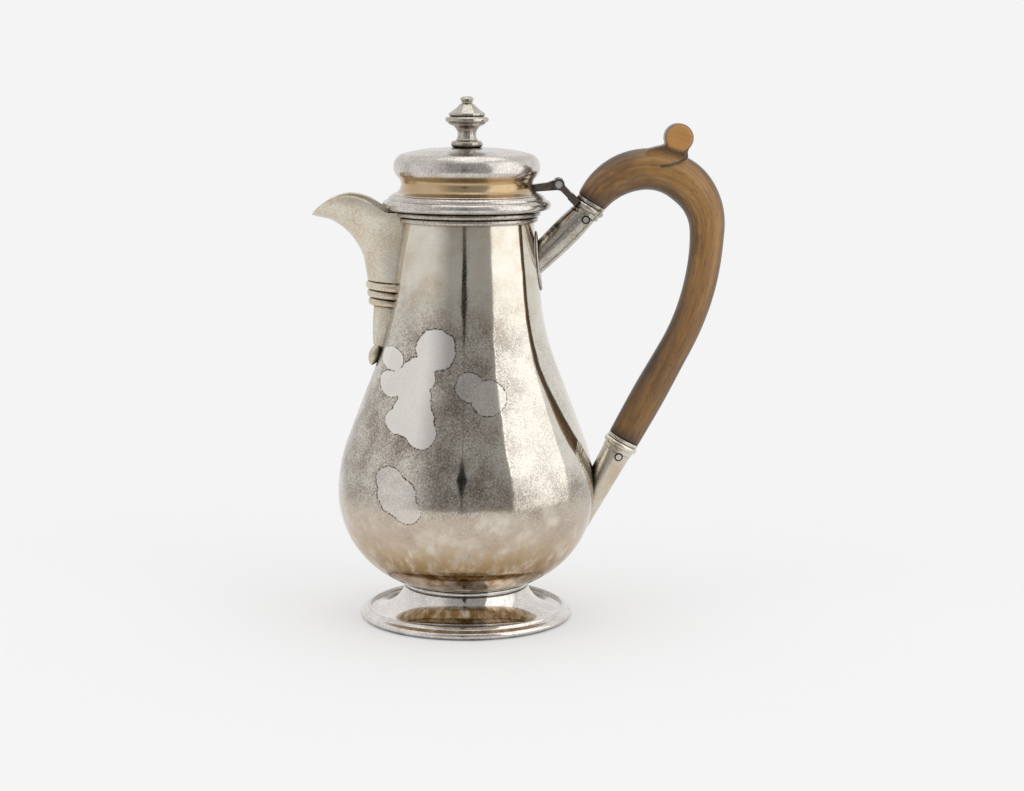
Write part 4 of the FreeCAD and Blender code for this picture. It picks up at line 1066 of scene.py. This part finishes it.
class POT_OT_handle(PotOperator, bpy.types.Operator):
    """Sweep the wooden handle, carve its thumb scroll and lay the grain along it"""
    bl_idname = "pot.handle"
    bl_label = "Handle"

    def make(self):
        wood = fruitwood("polished_fruitwood")
        points, halves, along = handle_path()
        grip = swept("handle", points, halves, FLATNESS, wood, 48)
        half = SCROLL_WIDTH / 2
        across = at_lean(*SCROLL_CENTRE, 0) @ Matrix.Rotation(math.pi / 2, 4, "X")
        roll = turned("roll", [
            (0.0, -half + 0.5), (2.2, -half + 0.25), (4.35, -half),
            (SCROLL_RADIUS, -half + 1.6, 5.48, -half + 0.47), (SCROLL_RADIUS, half - 1.6),
            (4.35, half, 5.48, half - 0.47), (2.2, half - 0.25), (0.0, half - 0.5),
        ], wood, 0.4, closed=False, place=across)
        join(grip, roll, self.neck())
        merge = grip.modifiers.new("Merge", "REMESH")
        merge.mode = "VOXEL"
        merge.voxel_size = 0.5 * MM
        sand = grip.modifiers.new("Sand", "SMOOTH")
        sand.factor = 0.5
        sand.iterations = 5
        settle(grip)
        self.carve(grip.data, points, halves, along)
        hand_over(grip, "pot", "fruitwood", wood, "handle_grip")

    def neck(self):
        """Solid under the roll, from the handle up to the curl of the ribbon."""
        out, up = lean_vectors(90 - SCROLL_ANGLE)
        corners = trace([
            (5.95, 0.0), (5.95, -5.9, 5.15, -2.95), (5.95, -10.4), (-11.3, -10.4),
            (-11.3, -8.65), (-4.9, -4.65), (-0.8, -5.95), (0.0, 0.0),
        ], 1.0, True)
        half = (SCROLL_WIDTH - 1.6) / 2
        flat = np.array([SCROLL_CENTRE + out * x + up * z for x, z in corners])
        sides = [np.column_stack([flat[:, 0], np.full(len(flat), y), flat[:, 1]]) for y in (-half, half)]
        return skin("scroll_neck", sides)

    def carve(self, mesh, points, halves, along):
        """Cut the ribbon's line into both sides, and note where the grain runs and where wear and painted
        shade darken it.
        """
        spots = spots_of(mesh) / MM
        flat = spots[:, [0, 2]]
        line = trace(CARVED, 0.4, False)
        gap = np.min(np.linalg.norm(flat[:, None, :] - line[None, :, :], axis=2), axis=1)
        depth = CARVED_DEPTH * np.exp(-(gap / CARVED_WIDTH) ** 2) * (np.abs(spots[:, 1]) > 3.0)
        spots[:, 1] -= np.sign(spots[:, 1]) * depth
        move_spots(mesh, spots * MM)
        nearest = np.argmin(np.linalg.norm(flat[:, None, :] - points[None, :, :], axis=2), axis=1)
        step = np.gradient(points, axis=0)
        step /= np.linalg.norm(step, axis=1)[:, None]
        offset = flat - points[nearest]
        across = offset[:, 0] * step[nearest, 1] - offset[:, 1] * step[nearest, 0]
        length = along[nearest] + (offset * step[nearest]).sum(axis=1)
        grain = mesh.attributes.new("grain", "FLOAT_VECTOR", "POINT")
        run = np.column_stack([length, across, spots[:, 1]]) * MM
        grain.data.foreach_set("vector", run.astype(np.float32).ravel())
        rim = np.abs(across) / halves[nearest]
        inward = GRIP_MIDDLE - points[nearest]
        inward /= np.linalg.norm(inward, axis=1)[:, None]
        inner = (offset * inward).sum(axis=1) / halves[nearest]
        from_roll = np.linalg.norm(flat - SCROLL_CENTRE, axis=1) / SCROLL_RADIUS
        # Wear at both ends; painted shade on the outline, carved line and roll edge; darker towards the
        # fingers
        worn = np.max([
            ramp(np.minimum(length, along[-1] - length), 7.0, 0.0) ** 1.5,
            ramp(rim, 0.66, 1.0) * 0.8 * ramp(rim, 1.25, 1.10),
            np.exp(-(gap / 0.7) ** 2),
            ramp(inner, 0.35, 0.85) * 0.85,
            ramp(from_roll, 0.86, 0.98) * (rim > 1.12) * 0.8,
        ], axis=0)
        note(mesh, "worn", worn)
        note(mesh, "bare", ramp(from_roll, 1.0, 0.88) * (np.abs(spots[:, 1]) > SCROLL_WIDTH / 2 - 1.2))


# Sockets and hinge

UPPER_SOCKET_RADIUS = 5.7
LOWER_SOCKET_RADIUS = 6.25
LOWER_SOCKET_LENGTH = 40.0
LOWER_SOCKET_FOOT = 4.9
COLLAR_LENGTH = 6.2
COLLAR_BORE = 4.1
# Foot and bend of the upper socket
SOCKET_FOOT = (25.75, 148.65)
SOCKET_BEND = (42.55, 165.4)
# Height of the leaf's middle, its half width and half height,
# and its rings from the edge inwards: share of its size, and height over the neck
LEAF_MIDDLE = 152.0
LEAF_HALF_WIDTH, LEAF_HALF_HEIGHT = 6.6, 12.5
LEAF_RINGS = (
    (1.0, -0.4), (1.0, 0.45), (0.985, 0.7), (0.95, 0.85), (0.9, 0.9), (0.6, 0.9), (0.3, 0.9), (0.02, 0.9),
)


class POT_OT_sockets(PotOperator, bpy.types.Operator):
    """Make the two handle sockets with their collars and the leaf on the neck"""
    bl_idname = "pot.sockets"
    bl_label = "Sockets"

    def make(self):
        metal = silver("polished_silver")
        self.collar("upper_ferrule", UPPER_END, UPPER_LEAN, UPPER_SOCKET_RADIUS, metal, "upper_collar")
        self.collar("lower_ferrule", LOWER_END, LOWER_LEAN, LOWER_SOCKET_RADIUS, metal, "lower_collar")
        self.upper(metal)
        self.lower(metal)
        for name in ("upper_handle_pin", "lower_handle_pin", "hinge_pin"):
            coat(name, silver("spun_silver"))
        for name in ("hinge_bracket", "lid_lug"):
            coat(name, silver("hinge_silver"))

    def collar(self, name, end, lean, radius, metal, solid):
        lathe(solid, "pot", name, [
            (COLLAR_BORE, 0.0), (radius + 0.7, 0.0), (radius + 0.7, -1.24), (radius + 0.2, -1.55),
            (radius + 0.2, -4.34, radius + 1.3, -2.976), (radius + 0.3, -4.65),
            (radius + 0.3, -COLLAR_LENGTH), (COLLAR_BORE, -COLLAR_LENGTH),
        ], metal, 0.2, place=at_lean(*end, lean))

    def tube(self, name, sections):
        """Tube round an axis, seated on the pot, from rows of x, z, radius and lean."""
        around = np.radians(np.arange(0, 360, 7.5))
        rows = []
        for x, z, radius, lean in sections:
            out = lean_vectors(lean)[0]
            side = radius * np.cos(around)
            rows.append(np.column_stack([x + out[0] * side, radius * np.sin(around), z + out[1] * side]))
        return skin(name, seat_on_pot(rows))

    def upper(self, metal):
        out, up = lean_vectors(UPPER_LEAN)
        mouth = UPPER_END - out * 0.6 - up * COLLAR_LENGTH
        root_lean = math.degrees(math.atan2(SOCKET_BEND[0] - SOCKET_FOOT[0], SOCKET_BEND[1] - SOCKET_FOOT[1]))
        # Place, radius and lean of the tube at its foot, bend and mouth
        marks = np.array([
            (*SOCKET_FOOT, 5.2, root_lean),
            (*SOCKET_BEND, 5.95, root_lean + (UPPER_LEAN - root_lean) * 0.3),
            (*mouth, UPPER_SOCKET_RADIUS, UPPER_LEAN),
        ])
        knots = length_along(marks[:, :2])
        tube = self.tube("upper_tube", smooth_through(knots, marks, np.linspace(0, knots[-1], 60)))
        join(tube, self.leaf())
        hand_over(tube, "pot", "silver", metal, "upper_socket")

    def leaf(self):
        """Thin oval leaf that lies on the neck round the foot of the upper socket."""
        around = np.radians(np.arange(0, 360, 5))
        rows = []
        for share, thick in LEAF_RINGS:
            y = LEAF_HALF_WIDTH * share * np.cos(around)
            z = LEAF_MIDDLE + LEAF_HALF_HEIGHT * share * np.sin(around)
            x = np.sqrt((pot_radius(z) + thick) ** 2 - y ** 2)
            rows.append(np.column_stack([x, y, z]))
        return skin("neck_leaf", rows)

    def lower(self, metal):
        up = lean_vectors(LOWER_LEAN)[1]
        sections = []
        for share in np.linspace(0, 1, 60):
            spot = LOWER_END - up * (COLLAR_LENGTH + LOWER_SOCKET_LENGTH * (1 - share))
            radius = LOWER_SOCKET_FOOT + (LOWER_SOCKET_RADIUS - LOWER_SOCKET_FOOT) * share
            sections.append((*spot, radius, LOWER_LEAN))
        hand_over(self.tube("lower_tube", sections), "pot", "silver", metal, "lower_socket")


# Lid

LID_BASE = 173.3
FLANGE_TOP = 179.4
LID_TOP = 198.8
WAIST = (27.45, FLANGE_TOP + 4.2)
CAP = (30.5, FLANGE_TOP + 11.4)
CAP_EDGE = (27.4, FLANGE_TOP + 16.8)
CROWN_RADIUS = 7.5
STUD_HOLE = 1.6
BEZEL_RADIUS = 26.4
BEZEL_DEPTH = 4.6
SHEET = 0.9


class POT_OT_lid(PotOperator, bpy.types.Operator):
    """Turn the dome, the flange and the bezel of the lid"""
    bl_idname = "pot.lid"
    bl_label = "Lid"

    def make(self):
        metal = silver("lid_silver")
        turn_z = WAIST[1] + (CAP[1] - WAIST[1]) * 0.42
        turn_r = WAIST[0] + (CAP[0] - WAIST[0]) * 0.36
        crown_z = (LID_TOP + CAP_EDGE[1]) / 2 + 0.8
        slant = SHEET * math.sqrt(0.5)
        lathe("lid_dome", "lid", "lid_cap", [
            (31.2, FLANGE_TOP), (30.7, FLANGE_TOP + 0.5), (turn_r, turn_z, *WAIST), (*CAP_EDGE, *CAP),
            (CROWN_RADIUS, LID_TOP, 17.45, crown_z), (STUD_HOLE, LID_TOP),
            (STUD_HOLE, LID_TOP - SHEET), (CROWN_RADIUS, LID_TOP - SHEET),
            (CAP_EDGE[0] - slant, CAP_EDGE[1] - slant, 17.45, crown_z - SHEET),
            (turn_r - SHEET, turn_z, CAP[0] - SHEET, CAP[1]),
            (30.7 - SHEET, FLANGE_TOP + 0.5, WAIST[0] - SHEET, WAIST[1]), (31.2 - SHEET, FLANGE_TOP),
        ], metal, 0.45)
        groove_z = LID_BASE + 4.1
        lathe("lid_flange", "lid", "lid_moulding", [
            (BEZEL_RADIUS, LID_BASE), (33.0, LID_BASE), (33.3, groove_z, 35.1, LID_BASE + 2.2),
            (32.9, groove_z), (31.2, FLANGE_TOP, 32.55, (groove_z + FLANGE_TOP) / 2), (30.3, FLANGE_TOP),
            (30.3, groove_z), (32.0, groove_z - SHEET), (32.1, LID_BASE + SHEET, 34.2, LID_BASE + 2.2),
            (BEZEL_RADIUS, LID_BASE + SHEET),
        ], metal, 0.3)
        low = BEZEL_RADIUS - 1.0
        lathe("lid_bezel", "lid", "lid_ring", [
            (BEZEL_RADIUS - SHEET, LID_BASE + SHEET), (BEZEL_RADIUS, LID_BASE + SHEET),
            (BEZEL_RADIUS, LID_BASE), (low, LID_BASE - BEZEL_DEPTH),
            (low - SHEET, LID_BASE - BEZEL_DEPTH), (BEZEL_RADIUS - SHEET, LID_BASE),
        ], metal, 0.5)


class POT_OT_finial(PotOperator, bpy.types.Operator):
    """Turn the finial and its seat, and finish the washer and nut inside the lid"""
    bl_idname = "pot.finial"
    bl_label = "Finial"

    def make(self):
        metal = silver("finial_silver")
        seat_top = LID_TOP + 3.1
        lathe("finial_seat", "lid", "finial_ring", [
            (STUD_HOLE, LID_TOP), (5.35, LID_TOP), (5.35, seat_top, 6.65, LID_TOP + 1.55),
            (STUD_HOLE, seat_top),
        ], metal, 0.25)
        ring, disc, step, tip = seat_top + 6.7, seat_top + 8.65, seat_top + 11.2, seat_top + 14.8
        top = seat_top + 18.1
        button = tip + 2.2
        lathe("finial_knob", "lid", "finial_turning", [
            (0.0, LID_TOP - 5.2), (1.5, LID_TOP - 5.2), (1.5, seat_top), (4.66, seat_top),
            (7.0, ring - 0.4, 3.86, seat_top + 2.3), (7.0, ring), (7.8, ring), (7.8, disc - 1.5),
            (7.5, disc - 1.2), (7.4, disc + 1.0, 9.1, disc), (7.0, disc + 1.3),
            (7.6, disc + 1.7), (7.6, step),
            (3.0, tip, 4.656, tip + (step - tip) * 0.42), (2.1, tip + 0.66), (2.9, button),
            (0.5, top, 2.18, button + (top - button) * 0.7), (0.0, top),
        ], metal, 0.25, closed=False)
        for name in ("finial_washer", "finial_nut"):
            coat(name, metal)


# Stage

CAMERA_SPOT = (0.0192, -0.885, 0.231)
CAMERA_PITCH = 8.743
CAMERA_ROLL = 0.27
FOCAL_LENGTH = 74.5
SENSOR_WIDTH = 36.0
# Paper: half its width, its level just under the foot, and the width of its mottling
PAPER_HALF = 30.0
PAPER_LEVEL = -0.0001
PAPER_MOTTLE = 0.03
AIR_LIGHT = 0.8
# Softboxes: place and width
LAMPS = (
    ("left_softbox", (-1.1, -0.7, 0.9), 1.0),
    ("right_softbox", (1.0, -0.8, 0.8), 0.8),
    ("top_softbox", (0.1, 0.1, 1.5), 1.2),
)
LAMP_POWER = 3.0
LAMP_AIM = Vector((0.02, 0, 0.1))
# Reflector cards: distance, light at both ends, then rows of height and the bearings of both ends
# in degrees, counted from the camera towards the handle
CARDS = (
    ("dark_room", 0.40, 0.40, 0.40, ((0.0, -24, 40), (0.66, -24, 40))),
    ("left_shade", 0.40, 0.86, 0.40, ((0.0, -54, -24), (0.66, -54, -24))),
    ("left_wall", 0.40, 0.86, 0.86, ((0.0, -120, -54), (0.66, -120, -54))),
    ("right_panel", 0.40, 1.45, 1.45, ((0.0, 41, 98), (0.60, 41, 98))),
    ("gap", 0.39, 0.02, 0.02, ((0.0, -3.1, -1.8), (0.07, -3.2, -1.7), (0.12, -5.4, 0.5), (0.155, -7.4, 2.5),
                               (0.20, -5.0, 0.1), (0.28, -2.7, -2.2), (0.6, -2.6, -2.3))),
)
CARD_POINTS = 25


class POT_OT_stage(PotOperator, bpy.types.Operator):
    """Set the pale sweep, the soft lamps, the reflector cards and the camera"""
    bl_idname = "pot.stage"
    bl_label = "Stage"

    def make(self):
        scene = bpy.context.scene
        settings = scene.pot_stage
        scene.view_settings.view_transform = "Standard"
        self.sweep(settings.backdrop)
        self.air(scene, settings.backdrop)
        for card in CARDS:
            self.card(*card)
        for name, spot, size in LAMPS:
            self.lamp(name, spot, size, LAMP_POWER * settings.lamp)
        self.camera(scene)

    def sweep(self, backdrop):
        """Pale matt paper under the pot, whose shadows fade into the backdrop."""
        signs = ((-1, -1), (1, -1), (1, 1), (-1, 1))
        corners = [(x * PAPER_HALF, y * PAPER_HALF, PAPER_LEVEL) for x, y in signs]
        floor = new_object("floor", corners, faces=[(0, 1, 2, 3)])
        material, shader, put = new_material("paper_sweep")
        where = put("TexCoord").outputs["Object"]
        mottle = put("TexNoise", (where, per(PAPER_MOTTLE), 2.0))
        shade = put("Mix", (mottle, [part * 0.985 for part in backdrop], backdrop), **COLOURS)
        feed(shader, {"Base Color": shade, "Roughness": 0.9, "Specular IOR Level": 0.1})
        reach = put("VectorMath", (where,), operation="LENGTH")
        far = put("Emission", {"Color": backdrop, "Strength": 1.0})
        fading = put("MapRange", (reach, 0.06, 0.45, 0.5, 1.0), **SMOOTH)
        paper = put("MixShader", (fading, shader, far))
        feed(shader.id_data.nodes["Material Output"], {"Surface": paper})
        floor.data.materials.append(material)

    def air(self, scene, backdrop):
        """Backdrop colour for the eye and for mirrors, soft light for everything else."""
        world = bpy.data.worlds.new("studio_air")
        world.use_nodes = True
        scene.world = world
        world.node_tree.nodes.clear()
        put = functools.partial(add, world.node_tree, "ShaderNode")
        path = put("LightPath").outputs
        seen = put("Math", (path["Is Camera Ray"], path["Is Glossy Ray"]), **PLUS)
        seen = put("Math", (seen, path["Is Transmission Ray"]), **PLUS)
        behind = put("Background", {"Color": backdrop, "Strength": 1.0})
        light = put("Background", {"Color": (1.0, 1.0, 1.0), "Strength": AIR_LIGHT})
        put("OutputWorld", {"Surface": put("MixShader", (seen, light, behind))})

    def card(self, name, distance, first_light, last_light, rows):
        """Upright card that only mirrors see, bent round the pot, its light fading from end to end."""
        points = []
        for z, start, end in rows:
            bearings = np.radians(np.linspace(start, end, CARD_POINTS))
            points += [(distance * math.sin(b), -distance * math.cos(b), z) for b in bearings]
        card = new_object(name, points, faces=faces_between(len(rows), CARD_POINTS))
        note(card.data, "glow", np.tile(np.linspace(first_light, last_light, CARD_POINTS), len(rows)))
        material, shader, put = new_material("reflector_card")
        if put:
            strength = put("Attribute", attribute_name="glow").outputs["Fac"]
            light = put("Emission", {"Color": (1.0, 1.0, 1.0), "Strength": strength})
            feed(shader.id_data.nodes["Material Output"], {"Surface": light})
            shader.id_data.nodes.remove(shader)
        card.data.materials.append(material)
        card.visible_camera = False
        card.visible_diffuse = False
        card.visible_shadow = False

    def lamp(self, name, spot, size, power):
        light = bpy.data.lights.new(name, "AREA")
        light.shape = "SQUARE"
        light.size = size
        light.energy = power
        lamp = bpy.data.objects.new(name, light)
        lamp.location = spot
        lamp.rotation_euler = (LAMP_AIM - Vector(spot)).to_track_quat("-Z", "Y").to_euler()
        lamp.visible_camera = False
        bpy.context.scene.collection.objects.link(lamp)

    def camera(self, scene):
        lens = bpy.data.cameras.new("camera")
        lens.lens = FOCAL_LENGTH
        lens.sensor_width = SENSOR_WIDTH
        lens.clip_start = 0.01
        camera = bpy.data.objects.new("camera", lens)
        pitch = Matrix.Rotation(math.radians(90 - CAMERA_PITCH), 4, "X")
        roll = Matrix.Rotation(math.radians(CAMERA_ROLL), 4, "Z")
        camera.matrix_world = Matrix.Translation(CAMERA_SPOT) @ pitch @ roll
        scene.collection.objects.link(camera)
        scene.camera = camera


class POT_PT_panel(bpy.types.Panel):
    """Steps and settings of the coffee pot"""
    bl_label = "Coffee pot"
    bl_idname = "POT_PT_panel"
    bl_space_type = "VIEW_3D"
    bl_region_type = "UI"
    bl_category = "Coffee pot"

    def draw(self, context):
        layout = self.layout
        for group in SETTINGS:
            settings = getattr(context.scene, group)
            for key in settings.bl_rna.properties.keys():
                if key not in ("rna_type", "name"):
                    layout.prop(settings, key)
        for operator in OPERATORS:
            layout.operator(operator.bl_idname)


SETTINGS = {
    "pot_turning": TurningSettings,
    "pot_silver": SilverFinish,
    "pot_wood": WoodFinish,
    "pot_stage": StageSettings,
}
OPERATORS = (
    POT_OT_body,
    POT_OT_foot,
    POT_OT_spout,
    POT_OT_sockets,
    POT_OT_handle,
    POT_OT_lid,
    POT_OT_finial,
    POT_OT_stage,
)


def register():
    for name, group in SETTINGS.items():
        bpy.utils.register_class(group)
        setattr(bpy.types.Scene, name, bpy.props.PointerProperty(type=group))
    for operator in OPERATORS:
        bpy.utils.register_class(operator)
    bpy.utils.register_class(POT_PT_panel)


def unregister():
    bpy.utils.unregister_class(POT_PT_panel)
    for operator in reversed(OPERATORS):
        bpy.utils.unregister_class(operator)
    for name, group in SETTINGS.items():
        delattr(bpy.types.Scene, name)
        bpy.utils.unregister_class(group)


def main():
    register()
    for operator in OPERATORS:
        step = operator.bl_idname.partition(".")[2]
        getattr(bpy.ops.pot, step)()


if __name__ == "__main__":
    main()
